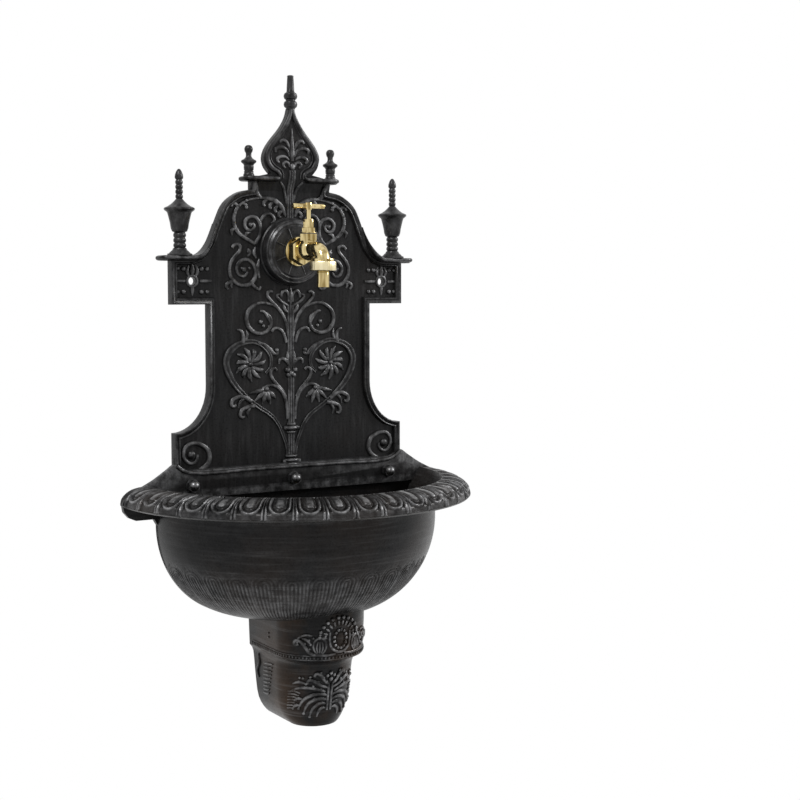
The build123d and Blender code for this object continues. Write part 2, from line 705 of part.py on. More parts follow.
def egg_groove(rim_line, middle):
    """Groove round one egg of the rim, on the surface turned from the line of the rim."""
    points = []
    for across, down in EGG_OUTLINE_RATIOS:
        on_line = rim_line @ (1 - down)
        turn = middle + across * EGG_WIDTH_RATIO * HALF_TURN / EGG_COUNT / 2
        reach = Vector(on_line.X, 0).rotate(Axis.Z, -turn)
        points.append((reach.X, BASIN_CENTRE_Y + reach.Y, on_line.Y))
    path = Spline(*points)
    return sweep(Plane(path @ 0, z_dir=path % 0) * Circle(EGG_GROOVE_R), path)


def basin():
    """Half-round bowl with a sloping rim and a flat back wall, whose ears close the ends of the rim."""
    inner_r = BOWL_R - BASIN_WALL
    lip = (RIM_LIP_R, RIM_LIP)
    nose = (RIM_R, RIM_NOSE)
    crown = (RIM_CROWN_R, RIM_TOP - RIM_CROWN_DROP)
    flat_edge = (RIM_INNER_R + RIM_FLAT_W, RIM_TOP)
    inside_foot = (inner_r, RIM_TOP - RIM_INSIDE_FALL)
    inside = EllipticalCenterArc(
        (BOWL_FLOOR_R, BOWL_MOUTH),
        inner_r - BOWL_FLOOR_R,
        BOWL_DEPTH - BASIN_WALL,
        start_angle=0,
        arc_size=-90,
    )
    rim_line = Spline(nose, crown, flat_edge, tangents=[(-1, RIM_NOSE_SLOPE), (-1, RIM_CROWN_SLOPE)])
    rim = [
        Polyline((BOWL_R, BOWL_MOUTH), (BOWL_R, RIM_THROAT), lip),
        Spline(lip, nose, tangents=[(1, RIM_LIP_SLOPE), (1, RIM_NOSE_SLOPE)]),
        rim_line,
        Polyline(flat_edge, (RIM_INNER_R, RIM_TOP), inside_foot, (inner_r, BOWL_MOUTH)),
    ]
    floor_line = Line((BOWL_FLOOR_R, BASIN_FLOOR), (0, BASIN_FLOOR))
    shell = half_round([*bowl_edges(), *rim, inside, floor_line], BASIN_CENTRE_Y)
    shell -= [egg_groove(rim_line, HALF_TURN * (k + 0.5) / EGG_COUNT) for k in range(EGG_COUNT)]
    ear = (EAR_R, EAR_FOOT)
    back_edges = [
        *bowl_edges(),
        Polyline((BOWL_R, BOWL_MOUTH), (EAR_IN_R, EAR_FOOT), ear),
        Spline(ear, nose, tangents=[(1, 0), (1, RIM_NOSE_SLOPE)]),
        Polyline(nose, (BOWL_R, RIM_NOSE), (BACK_TOP_HALF_W, SEAT), (0, SEAT)),
    ]
    shell += slab(back_edges, 0, FIELD)
    for x in (-SKIRT_SCREW_X, 0, SKIRT_SCREW_X):
        shell -= rod_y(M8_R + M8_HOLE_GAP, 0, FIELD, x, SCREW_Z)
        shell -= csk_cone(x, M8_HOLE_GAP)
    for x in (-PED_BOLT_X, PED_BOLT_X):
        shell -= rod_z(M8_R + M8_HOLE_GAP, BOWL_FOOT, BASIN_FLOOR, x, WASTE_Y)
    shell -= rod_z(WASTE_R + WASTE_HOLE_GAP, BOWL_FOOT, BASIN_FLOOR, 0, WASTE_Y)
    return shell


def u_plan(half_w, front, z):
    """Plan of the pedestal at one level: straight sides from the wall and a half-round front."""
    centre = half_w - front
    outline = [
        Line((half_w, 0), (-half_w, 0)),
        Line((-half_w, 0), (-half_w, centre)),
        ThreePointArc((-half_w, centre), (0, -front), (half_w, centre)),
        Line((half_w, centre), (half_w, 0)),
    ]
    return Pos(0, 0, z) * make_face(outline)


def pedestal():
    """Collared bracket under the bowl, hollow and open towards the wall and the ground."""
    bowl = half_round([*bowl_edges(), Line((BOWL_R, BOWL_MOUTH), (0, BOWL_MOUTH))], BASIN_CENTRE_Y)
    levels = [
        (PED_COLLAR_HALF_W, PED_COLLAR_FRONT, PED_COLLAR_FOOT),
        (PED_NECK_HALF_W, PED_NECK_FRONT, PED_NECK),
        (PED_HEEL_HALF_W, PED_HEEL_FRONT, PED_HEEL),
        (PED_FOOT_HALF_W, PED_FOOT_FRONT, PED_FOOT),
    ]
    top = (PED_TOP_HALF_W, PED_TOP_FRONT, BOWL_MOUTH)
    under_plate = (PED_COLLAR_HALF_W, PED_COLLAR_FRONT, PED_PLATE_FOOT)
    outside = loft([u_plan(*level) for level in (top, *levels)], ruled=True)
    hollow = [u_plan(w - PED_WALL, front - PED_WALL, z) for w, front, z in (under_plate, *levels)]
    body = outside - bowl - loft(hollow, ruled=True)
    for x in (-PED_BOLT_X, PED_BOLT_X):
        body -= rod_z(M8_R + M8_HOLE_GAP, PED_PLATE_FOOT, BOWL_FOOT, x, WASTE_Y)
    return body - rod_z(WASTE_R + WASTE_HOLE_GAP, PED_PLATE_FOOT, BOWL_FOOT, 0, WASTE_Y)


def csk_cone(x, gap=0.0):
    """Countersunk head against the wall side, or its seat when a gap is given."""
    cone = Cone(CSK_HEAD_R + gap, M8_R + gap, CSK_HEAD_H, align=(Align.CENTER, Align.CENTER, Align.MIN))
    return Pos(x, 0, SCREW_Z) * Rot(90, 0, 0) * cone


def skirt_screws():
    """Countersunk screws from behind, through the basin wall and the skirt."""
    end = -PLATE_DEPTH - WASHER_T - SCREW_IN_DOME
    screws = [csk_cone(x) + rod_y(M8_R, 0, end, x, SCREW_Z) for x in (-SKIRT_SCREW_X, 0, SKIRT_SCREW_X)]
    return Part() + screws


def skirt_washers():
    """Plain washers under the dome nuts."""
    front = -PLATE_DEPTH - WASHER_T
    hole = M8_R + M8_HOLE_GAP
    return Part() + [
        rod_y(WASHER_R, -PLATE_DEPTH, front, x, SCREW_Z) - rod_y(hole, -PLATE_DEPTH, front, x, SCREW_Z)
        for x in (-SKIRT_SCREW_X, 0, SKIRT_SCREW_X)
    ]


def skirt_dome_nuts():
    """Closed dome nuts on the front of the skirt."""
    back = -PLATE_DEPTH - WASHER_T
    front = back - M8_NUT_T
    hole_end = back - SCREW_IN_DOME - THREAD_GAP
    dome_h = SCREW_IN_DOME + DOME_TIP_WALL - M8_NUT_T
    nuts = []
    for x in (-SKIRT_SCREW_X, 0, SKIRT_SCREW_X):
        ball_r = (DOME_R**2 + dome_h**2) / (2 * dome_h)
        ball = Pos(x, front - dome_h + ball_r, SCREW_Z) * Sphere(ball_r)
        dome = ball & rod_y(DOME_R, front, front - dome_h, x, SCREW_Z)
        nut = hex_y(M8_NUT_AF, back, front, x, SCREW_Z) + dome
        nuts.append(nut - rod_y(M8_R + THREAD_GAP, back, hole_end, x, SCREW_Z))
    return Part() + nuts


def pedestal_bolts():
    """Hexagon bolts in the basin floor that hold the pedestal."""
    head = BASIN_FLOOR + PED_SEAL_T
    end = PED_PLATE_FOOT - M8_NUT_T - PED_BOLT_SPARE
    return Part() + [
        hex_z(M8_NUT_AF, head, head + PED_BOLT_HEAD_H, x, WASTE_Y) + rod_z(M8_R, end, head, x, WASTE_Y)
        for x in (-PED_BOLT_X, PED_BOLT_X)
    ]


def pedestal_seals():
    """Rubber washers under the heads of the pedestal bolts."""
    top = BASIN_FLOOR + PED_SEAL_T
    return Part() + [
        rod_z(WASHER_R, BASIN_FLOOR, top, x, WASTE_Y) - rod_z(M8_R + THREAD_GAP, BASIN_FLOOR, top, x, WASTE_Y)
        for x in (-PED_BOLT_X, PED_BOLT_X)
    ]


def pedestal_nuts():
    """Nuts under the top plate of the pedestal."""
    low = PED_PLATE_FOOT - M8_NUT_T
    return Part() + [
        hex_z(M8_NUT_AF, low, PED_PLATE_FOOT, x, WASTE_Y)
        - rod_z(M8_R + THREAD_GAP, low, PED_PLATE_FOOT, x, WASTE_Y)
        for x in (-PED_BOLT_X, PED_BOLT_X)
    ]


def tube_z(r, bore_r, low, high, y):
    """Upright tube on the centre plane."""
    return rod_z(r, low, high, 0, y) - rod_z(bore_r, low, high, 0, y)


def waste_fitting():
    """Flanged waste through the basin floor and the top plate of the pedestal, with a plain tail."""
    flange_foot = BASIN_FLOOR + WASTE_SEAL_T
    flange_top = flange_foot + WASTE_FLANGE_T
    thread_foot = PED_PLATE_FOOT - WASTE_WASHER_T - WASTE_NUT_T - WASTE_THREAD_SPARE
    tail_end = thread_foot - WASTE_TAIL_L
    body = rod_z(WASTE_FLANGE_R, flange_foot, flange_top, 0, WASTE_Y)
    body += rod_z(WASTE_R, thread_foot, flange_foot, 0, WASTE_Y)
    body += rod_z(WASTE_TAIL_R, tail_end, thread_foot, 0, WASTE_Y)
    return body - rod_z(WASTE_BORE_R, tail_end, flange_top, 0, WASTE_Y)


def waste_seal():
    """Rubber ring under the flange of the waste."""
    return tube_z(WASTE_FLANGE_R, WASTE_R + WASTE_HOLE_GAP, BASIN_FLOOR, BASIN_FLOOR + WASTE_SEAL_T, WASTE_Y)


def waste_washer():
    """Clamping washer under the top plate of the pedestal."""
    low = PED_PLATE_FOOT - WASTE_WASHER_T
    return tube_z(WASTE_NUT_AF / 2, WASTE_R + WASTE_HOLE_GAP, low, PED_PLATE_FOOT, WASTE_Y)


def waste_nut():
    """Large thin nut on the tail of the waste."""
    top = PED_PLATE_FOOT - WASTE_WASHER_T
    nut = hex_z(WASTE_NUT_AF, top - WASTE_NUT_T, top, 0, WASTE_Y)
    return nut - rod_z(WASTE_R + THREAD_GAP, top - WASTE_NUT_T, top, 0, WASTE_Y)


def drain_plug():
    """Rubber plug with a knob to lift it by."""
    seat = BASIN_FLOOR + WASTE_SEAL_T + WASTE_FLANGE_T + PLUG_GAP
    top = seat + PLUG_CAP_T
    plug = rod_z(WASTE_BORE_R - PLUG_GAP, seat - PLUG_STEM_L, seat, 0, WASTE_Y)
    plug += rod_z(PLUG_CAP_R, seat, top, 0, WASTE_Y)
    return plug + rod_z(PLUG_KNOB_R, top, top + PLUG_KNOB_H, 0, WASTE_Y)


def spout(r, from_y):
    """Round spout that runs forward, bends down and ends at the outlet."""
    bend_y = OUTLET_Y + SPOUT_BEND_R
    low = SPOUT_Z - SPOUT_BEND_R
    path = Curve() + [
        Line((0, from_y, SPOUT_Z), (0, bend_y, SPOUT_Z)),
        TangentArc((0, bend_y, SPOUT_Z), (0, OUTLET_Y, low), tangent=(0, -1, 0)),
        Line((0, OUTLET_Y, low), (0, OUTLET_Y, OUTLET_END)),
    ]
    return sweep(Plane((0, from_y, SPOUT_Z), z_dir=(0, -1, 0)) * Circle(r), path)


def tap_body():
    """Brass body: shank, flange, hexagon, barrel, valve chamber and spout."""
    bulb_z = TAP_UP + BULB_UP
    body = rod_y(INLET_R, INLET_END, TAP_NUT_BACK, z=TAP_UP)
    body += rod_y(SHANK_R, TAP_NUT_BACK, TAP_FLANGE_BACK, z=TAP_UP)
    body += rod_y(TAP_FLANGE_R, TAP_FLANGE_BACK, TAP_HEX_BACK, z=TAP_UP)
    body += hex_y(TAP_HEX_AF, TAP_HEX_BACK, TAP_HEX_FACE, z=TAP_UP)
    body += rod_y(BARREL_R, TAP_HEX_FACE, SPINDLE_Y, z=TAP_UP)
    body += Pos(0, SPINDLE_Y, bulb_z) * Sphere(BULB_R)
    body += rod_z(NECK_R, bulb_z, COLLAR_FOOT, 0, SPINDLE_Y)
    body += hex_z(COLLAR_AF, COLLAR_FOOT, COLLAR_TOP, 0, SPINDLE_Y)
    body += spout(SPOUT_R, SPINDLE_Y)
    body += rod_z(OUTLET_THREAD_R, OUTLET_END, OUTLET_END + OUTLET_THREAD_L, 0, OUTLET_Y)
    inlet_z = TAP_UP - INLET_BORE_DROP
    inlet_end = SPINDLE_Y - SEAT_R - INLET_BORE_OVERRUN
    body -= rod_y(INLET_BORE_R, INLET_END, inlet_end, z=inlet_z)
    body -= rod_z(SEAT_R, inlet_z, VALVE_SEAT, 0, SPINDLE_Y)
    body -= rod_z(CHAMBER_R, VALVE_SEAT, COLLAR_TOP, 0, SPINDLE_Y)
    return body - spout(SPOUT_BORE_R, SPINDLE_Y - CHAMBER_R + SPOUT_BORE_OVERRUN)


def tap_face_washer():
    """Fibre washer between the tap flange and the disc."""
    ring = rod_y(TAP_WASHER_R, DISC_FACE, TAP_FLANGE_BACK, z=TAP_UP)
    return ring - rod_y(SHANK_R + SHANK_HOLE_GAP, DISC_FACE, TAP_FLANGE_BACK, z=TAP_UP)


def tap_back_washer():
    """Steel washer inside the disc."""
    ring = rod_y(TAP_BACK_WASHER_R, TAP_NUT_FRONT, DISC_INSIDE, z=TAP_UP)
    return ring - rod_y(SHANK_R + SHANK_HOLE_GAP, TAP_NUT_FRONT, DISC_INSIDE, z=TAP_UP)


def tap_back_nut():
    """Nut that clamps the tap to the disc."""
    nut = hex_y(TAP_BACK_NUT_AF, TAP_NUT_BACK, TAP_NUT_FRONT, z=TAP_UP)
    return nut - rod_y(SHANK_R + THREAD_GAP, TAP_NUT_BACK, TAP_NUT_FRONT, z=TAP_UP)


def bonnet():
    """Bonnet screwed into the collar, with the spindle thread inside and the packing box above."""
    body = rod_z(CHAMBER_R - THREAD_GAP, BONNET_END, BONNET_FOOT, 0, SPINDLE_Y)
    body += hex_z(BONNET_HEX_AF, BONNET_FOOT, BONNET_TOP, 0, SPINDLE_Y)
    body += rod_z(COLLAR_AF / 2, BONNET_FOOT, BONNET_FOOT + BONNET_WASHER_T, 0, SPINDLE_Y)
    body += rod_z(BONNET_NECK_R, BONNET_TOP, NECK_END, 0, SPINDLE_Y)
    body -= rod_z(SPINDLE_THREAD_R + SPINDLE_RUN_GAP, BONNET_END, THREAD_CEILING, 0, SPINDLE_Y)
    body -= rod_z(SPINDLE_R + SPINDLE_RUN_GAP, THREAD_CEILING, PACKING_FOOT, 0, SPINDLE_Y)
    return body - rod_z(PACKING_R, PACKING_FOOT, NECK_END, 0, SPINDLE_Y)


def bonnet_washer():
    """Fibre washer between the bonnet and the collar."""
    return tube_z(COLLAR_AF / 2, CHAMBER_R, COLLAR_TOP, BONNET_FOOT, SPINDLE_Y)


def gland_packing():
    """Packing ring round the spindle."""
    top = PACKING_FOOT + PACKING_H
    return tube_z(PACKING_R - THREAD_GAP, SPINDLE_R + THREAD_GAP, PACKING_FOOT, top, SPINDLE_Y)


def gland_nut():
    """Hexagon gland nut with a rim and a nose that presses the packing."""
    rim_foot = GLAND_FOOT + GLAND_NUT_H
    nut = hex_z(GLAND_AF, GLAND_FOOT, rim_foot, 0, SPINDLE_Y)
    nut += rod_z(GLAND_RIM_R, rim_foot, GLAND_TOP, 0, SPINDLE_Y)
    nut -= rod_z(BONNET_NECK_R + THREAD_GAP, GLAND_FOOT, NECK_END, 0, SPINDLE_Y)
    nut += rod_z(PACKING_R - THREAD_GAP, PACKING_FOOT + PACKING_H, NECK_END, 0, SPINDLE_Y)
    return nut - rod_z(SPINDLE_R + SPINDLE_RUN_GAP, PACKING_FOOT, GLAND_TOP, 0, SPINDLE_Y)


def spindle():
    """Threaded spindle with a head that the tee bar passes through."""
    head_foot = TEE_Z - TEE_HEAD_H / 2
    body = rod_z(SPINDLE_THREAD_R, JUMPER_TOP, SPINDLE_THREAD_TOP, 0, SPINDLE_Y)
    body += rod_z(SPINDLE_R, SPINDLE_THREAD_TOP, head_foot, 0, SPINDLE_Y)
    body += rod_z(TEE_HEAD_R, head_foot, head_foot + TEE_HEAD_H, 0, SPINDLE_Y)
    body -= rod_x(TEE_BAR_R + THREAD_GAP, TEE_BAR_L, SPINDLE_Y, TEE_Z)
    stem_end = JUMPER_TOP + JUMPER_STEM_L + SPINDLE_RUN_GAP
    return body - rod_z(JUMPER_STEM_R + SPINDLE_RUN_GAP, JUMPER_TOP, stem_end, 0, SPINDLE_Y)


def tee_bar():
    """Cross bar that turns the spindle."""
    return rod_x(TEE_BAR_R, TEE_BAR_L, SPINDLE_Y, TEE_Z)


def jumper_valve():
    """Loose valve disc with a stem up into the spindle."""
    disc_top = JUMPER_TOP - SPINDLE_RUN_GAP
    disc = rod_z(JUMPER_R, JUMPER_FOOT, disc_top, 0, SPINDLE_Y)
    return disc + rod_z(JUMPER_STEM_R, disc_top, JUMPER_TOP + JUMPER_STEM_L, 0, SPINDLE_Y)


def jumper_washer():
    """Rubber washer under the valve disc."""
    return rod_z(JUMPER_WASHER_R, JUMPER_FOOT - JUMPER_WASHER_T, JUMPER_FOOT, 0, SPINDLE_Y)


def union_nut():
    """Round union nut that holds the hose tail on the outlet."""
    top = UNION_FOOT + UNION_H
    nut = rod_z(UNION_R, UNION_FOOT, top, 0, OUTLET_Y)
    nut -= rod_z(TAIL_R + UNION_RUN_GAP, UNION_FOOT, UNION_LIP_TOP, 0, OUTLET_Y)
    return nut - rod_z(OUTLET_THREAD_R + UNION_RUN_GAP, UNION_LIP_TOP, top, 0, OUTLET_Y)


def hose_tail():
    """Flanged tube that a hose is pushed over."""
    tail = rod_z(TAIL_R, TAIL_END, TAIL_SHOULDER, 0, OUTLET_Y)
    tail += rod_z(TAIL_NECK_R, TAIL_SHOULDER, TAIL_FLANGE_FOOT, 0, OUTLET_Y)
    tail += rod_z(TAIL_FLANGE_R, TAIL_FLANGE_FOOT, TAIL_TOP, 0, OUTLET_Y)
    return tail - rod_z(TAIL_BORE_R, TAIL_END, TAIL_TOP, 0, OUTLET_Y)


def hose_washer():
    """Rubber washer between the hose tail and the outlet."""
    return tube_z(HOSE_WASHER_R, HOSE_WASHER_BORE_R, TAIL_TOP, HOSE_WASHER_TOP, OUTLET_Y)


PIECES = {
    "back_plate": back_plate(),
    "crown_spire": crown_spire(),
    "left_urn_finial": urn_finial(-URN_X),
    "right_urn_finial": urn_finial(URN_X),
    "left_small_finial": small_finial(-SMALL_X),
    "right_small_finial": small_finial(SMALL_X),
    "basin": basin(),
    "pedestal": pedestal(),
    "skirt_screws": skirt_screws(),
    "skirt_washers": skirt_washers(),
    "skirt_dome_nuts": skirt_dome_nuts(),
    "pedestal_bolts": pedestal_bolts(),
    "pedestal_seals": pedestal_seals(),
    "pedestal_nuts": pedestal_nuts(),
    "waste_fitting": waste_fitting(),
    "waste_seal": waste_seal(),
    "waste_washer": waste_washer(),
    "waste_nut": waste_nut(),
    "drain_plug": drain_plug(),
    "tap_body": tap_body(),
    "tap_face_washer": tap_face_washer(),
    "tap_back_washer": tap_back_washer(),
    "tap_back_nut": tap_back_nut(),
    "bonnet": bonnet(),
    "bonnet_washer": bonnet_washer(),
    "gland_packing": gland_packing(),
    "gland_nut": gland_nut(),
    "spindle": spindle(),
    "tee_bar": tee_bar(),
    "jumper_valve": jumper_valve(),
    "jumper_washer": jumper_washer(),
    "union_nut": union_nut(),
    "hose_tail": hose_tail(),
    "hose_washer": hose_washer(),
}

os.makedirs("parts", exist_ok=True)
for name, piece in PIECES.items():
    export_step(piece, f"parts/{name}.step")
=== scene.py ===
import json
import math

import bpy
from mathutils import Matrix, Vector


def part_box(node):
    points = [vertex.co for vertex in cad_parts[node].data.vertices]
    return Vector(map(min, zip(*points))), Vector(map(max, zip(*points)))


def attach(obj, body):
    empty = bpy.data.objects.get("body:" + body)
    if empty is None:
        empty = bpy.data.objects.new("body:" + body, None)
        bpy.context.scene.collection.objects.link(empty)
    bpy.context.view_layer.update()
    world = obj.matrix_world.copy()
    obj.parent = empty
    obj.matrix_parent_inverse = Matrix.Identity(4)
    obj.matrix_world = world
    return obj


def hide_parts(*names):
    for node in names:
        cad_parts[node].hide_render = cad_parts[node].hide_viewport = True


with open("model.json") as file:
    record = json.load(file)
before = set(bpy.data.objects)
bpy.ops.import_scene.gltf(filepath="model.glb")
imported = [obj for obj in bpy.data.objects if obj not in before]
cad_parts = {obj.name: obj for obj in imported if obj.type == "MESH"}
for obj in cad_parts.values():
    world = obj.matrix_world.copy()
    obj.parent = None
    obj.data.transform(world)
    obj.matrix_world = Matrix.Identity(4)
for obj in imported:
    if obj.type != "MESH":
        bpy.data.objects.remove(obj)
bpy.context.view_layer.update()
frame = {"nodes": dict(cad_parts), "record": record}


# Back plate: the large grey-iron casting that hangs on the wall by two screws through its shoulder
# blocks. Sand cast in one pour with its border, ledges, crown, disc and skirt, then blackened and
# rubbed with graphite, which stays bright on whatever stands proud.

MM = 0.001
MERGE = 0.02 * MM
FIELD_Y = -7.0
BORDER_Y = -13.0
PANEL_EDGE_Y = BORDER_Y + 1.6
SKIRT_EDGE_Y = BORDER_Y + 0.8
CROWN_BACK = -4.8
CROWN_Y = -13.2
CROWN_EDGE_Y = CROWN_Y + 0.6
BORDER_STEPS = [(0.0, 0.0), (0.4, 1.1), (0.8, 0.5), (0.9, -0.3), (1.4, -1.2), (1.3, -0.5), (0.7, 0.8),
                (0.8, 0.2), (0.7, -0.6), (0.6, -2.2), (0.7, -2.0)]
PANEL_TOP = 118.6
WALL_HOLE_X = 127.0
WALL_HOLE_R = 4.5
SCREW_X = 132.5
SCREW_Z = -236.0
SCREW_HOLE_R = 4.4
DISC_Z = 35.0
DISC_BORE_R = 30.0
DISC_FROM_Y = -35.0
DISC_FACE_Y = -24.9
BORDER_SHINE = 0.3
BORDER_SHINE_FROM = 10.6
BORDER_SHINE_OVER = 2.4
SKIRT_SHINE = 0.42
LEDGE_SHINE = 0.12
LEDGE_SHINE_FROM = 19.5
LEDGE_SHINE_OVER = 8.0
DISC_SHINE = 0.1
DISC_RING_SHINE = 0.4
DISC_RING_FROM = 21.5
DISC_RING_TO = 23.6
GRAPHITE = (0.36, 0.36, 0.368, 1)
RUST = (0.05, 0.029, 0.016, 1)


def let_go():
    """Nothing selected, out of edit mode."""
    if bpy.context.object and bpy.context.object.mode != "OBJECT":
        bpy.ops.object.mode_set(mode="OBJECT")
    bpy.ops.object.select_all(action="DESELECT")


def take(piece):
    """Only this piece selected and active."""
    let_go()
    piece.select_set(True)
    bpy.context.view_layer.objects.active = piece


def open_up(piece):
    """Edit mode, with all of this piece selected."""
    take(piece)
    bpy.ops.object.mode_set(mode="EDIT")
    bpy.ops.mesh.select_all(action="SELECT")


def close_up():
    """Back out of edit mode."""
    bpy.ops.object.mode_set(mode="OBJECT")


def new_piece(name, points, faces, edges=()):
    """A piece from points in millimetres."""
    mesh = bpy.data.meshes.new(name)
    mesh.from_pydata([(x * MM, y * MM, z * MM) for x, y, z in points], edges, faces)
    piece = bpy.data.objects.new(name, mesh)
    bpy.context.scene.collection.objects.link(piece)
    take(piece)
    return piece


def one_casting(name, pieces):
    """Several shells poured as one."""
    let_go()
    for piece in pieces:
        piece.select_set(True)
    bpy.context.view_layer.objects.active = pieces[0]
    bpy.ops.object.join()
    pieces[0].name = name
    return pieces[0]


def face_out(piece, smooth_below=35):
    """Doubles merged, faces turned outwards, and shading smooth up to an angle."""
    open_up(piece)
    bpy.ops.mesh.remove_doubles(threshold=MERGE)
    bpy.ops.mesh.normals_make_consistent(inside=False)
    close_up()
    bpy.ops.object.shade_smooth_by_angle(angle=math.radians(smooth_below))
    return piece


def ramp(value, low, high):
    """Smooth step from 0 at low to 1 at high."""
    t = max(0.0, min(1.0, (value - low) / (high - low)))
    return t * t * (3 - 2 * t)


def run_through(points, steps):
    """A smooth run through points, with the given steps between each two."""
    padded = [points[0], *points, points[-1]]
    run = []
    for a, b, c, d in zip(padded, padded[1:], padded[2:], padded[3:]):
        for k in range(steps):
            t = k / steps
            run.append(tuple(0.5 * (2 * q + (r - p) * t + (2 * p - 5 * q + 4 * r - s) * t ** 2
                                    + (3 * q - p - 3 * r + s) * t ** 3)
                             for p, q, r, s in zip(a, b, c, d)))
    return run + [points[-1]]


def cast_slab(name, right, back, front, steps):
    """A slab from the right half of its outline, listed from the top downwards, with its front edge
    shaped by insets that each rise or sink."""
    outline = [*right, *[(-x, z) for x, z in reversed(right) if x > 0.01]]
    piece = new_piece(name, [(x, back, z) for x, z in outline], [range(len(outline))])
    open_up(piece)
    bpy.ops.mesh.normals_make_consistent(inside=False)
    bpy.ops.mesh.extrude_region_move(TRANSFORM_OT_translate={"value": (0, (front - back) * MM, 0)})
    close_up()
    for face in piece.data.polygons:
        if abs(face.center.y - front * MM) < MERGE / 2 and face.normal.y > 0:
            face.flip()
    bpy.ops.object.mode_set(mode="EDIT")
    for inset, rise in steps:
        bpy.ops.mesh.inset(thickness=inset * MM, depth=rise * MM, use_even_offset=True)
    close_up()
    return face_out(piece)


def drill(piece, x, z, r, back, front):
    """A round hole straight through from back to front."""
    let_go()
    bpy.ops.mesh.primitive_cylinder_add(vertices=48, radius=r * MM, depth=(back - front) * MM,
                                        location=(x * MM, (back + front) / 2 * MM, z * MM),
                                        rotation=(math.pi / 2, 0, 0))
    bit = bpy.context.object
    take(piece)
    cut = piece.modifiers.new("hole", "BOOLEAN")
    cut.object = bit
    cut.operation = "DIFFERENCE"
    cut.solver = "EXACT"
    bpy.ops.object.modifier_apply(modifier="hole")
    bpy.data.objects.remove(bit)


def skin(name, rings, close=True):
    """A casting skinned over rings with the same number of points each, closed round and at both ends
    unless left open.
    """
    count = len(rings[0])
    points = [point for ring in rings for point in ring]
    faces = []
    for level in range(len(rings) - 1):
        for k in range(count if close else count - 1):
            low, high = level * count, (level + 1) * count
            faces.append((low + k, low + (k + 1) % count, high + (k + 1) % count, high + k))
    if close:
        faces += [tuple(range(count)), tuple(range(len(points) - count, len(points)))]
    return new_piece(name, points, faces)


def saw_off(place, normal):
    """Takes off what lies beyond a plane, from the piece in edit mode, and closes the cut."""
    bpy.ops.mesh.select_all(action="SELECT")
    bpy.ops.mesh.bisect(plane_co=place, plane_no=normal, use_fill=True, clear_outer=True)


def turned(name, profile, x, y, z, steps, flat_back=None, axis=(0, 0, 1)):
    """A turned shape, spun from its (radius, height) profile, with a flat back where one is given."""
    if axis[2]:
        points = [(x + r, y, z + h) for r, h in profile]
    else:
        points = [(x + r, y + h, z) for r, h in profile]
    piece = new_piece(name, points, [], [(k, k + 1) for k in range(len(points) - 1)])
    open_up(piece)
    bpy.ops.mesh.spin(steps=steps, angle=2 * math.pi, center=(x * MM, y * MM, z * MM), axis=axis)
    bpy.ops.mesh.select_all(action="SELECT")
    bpy.ops.mesh.remove_doubles(threshold=MERGE)
    if flat_back is not None:
        saw_off((0, flat_back * MM, 0), (0, 1, 0))
    close_up()
    return face_out(piece)


def mark_proud(piece, share):
    """Says how bright each point is rubbed with graphite, by how far it stands out from the wall."""
    if "proud_and_painted_light" not in piece.data.attributes:
        piece.data.attributes.new("proud_and_painted_light", "FLOAT", "POINT")
    values = [max(0.0, min(1.0, share(-v.co.y / MM))) for v in piece.data.vertices]
    piece.data.attributes["proud_and_painted_light"].data.foreach_set("value", values)


def feed(tree, node, inputs):
    """Sets each input of a node to a value, or wires another node's output to it."""
    for socket, value in inputs.items():
        if isinstance(value, bpy.types.NodeSocket):
            tree.links.new(value, node.inputs[socket])
        else:
            node.inputs[socket].default_value = value


def new_node(tree, kind, inputs, **settings):
    """A node with its settings and inputs."""
    node = tree.nodes.new("ShaderNode" + kind)
    for setting, value in settings.items():
        setattr(node, setting, value)
    feed(tree, node, inputs)
    return node


def new_finish(name):
    """A material, with its node tree, its shader, and the place on the piece that its pattern follows."""
    finish = bpy.data.materials.new(name)
    finish.use_nodes = True
    tree = finish.node_tree
    return finish, tree, tree.nodes["Principled BSDF"], new_node(tree, "TexCoord", {}).outputs["Object"]


def noise(tree, place, scale, detail, roughness=0.5, stretch=None):
    """Cloudy noise, from 0 to 1, drawn out where a stretch is given."""
    if stretch:
        place = new_node(tree, "Mapping", {"Vector": place, "Scale": stretch}).outputs["Vector"]
    inputs = {"Vector": place, "Scale": scale, "Detail": detail, "Roughness": roughness}
    return new_node(tree, "TexNoise", inputs).outputs["Fac"]


def ranged(tree, value, low, high, to_low=0.0, to_high=1.0):
    """A value stretched from one range to another, and held there."""
    inputs = {"Value": value, "From Min": low, "From Max": high, "To Min": to_low, "To Max": to_high}
    return new_node(tree, "MapRange", inputs).outputs["Result"]


def joined(tree, operation, first, second):
    """Two values added, multiplied or the larger of them, between 0 and 1."""
    inputs = {0: first, 1: second}
    return new_node(tree, "Math", inputs, operation=operation, use_clamp=True).outputs["Value"]


def blend(tree, factor, first, second):
    """A colour between two others."""
    inputs = {"Factor": factor, 6: first, 7: second}
    return new_node(tree, "Mix", inputs, data_type="RGBA").outputs[2]


def bumped(tree, height, strength, distance):
    """The small bumps of a surface."""
    inputs = {"Height": height, "Strength": strength, "Distance": distance}
    return new_node(tree, "Bump", inputs).outputs["Normal"]


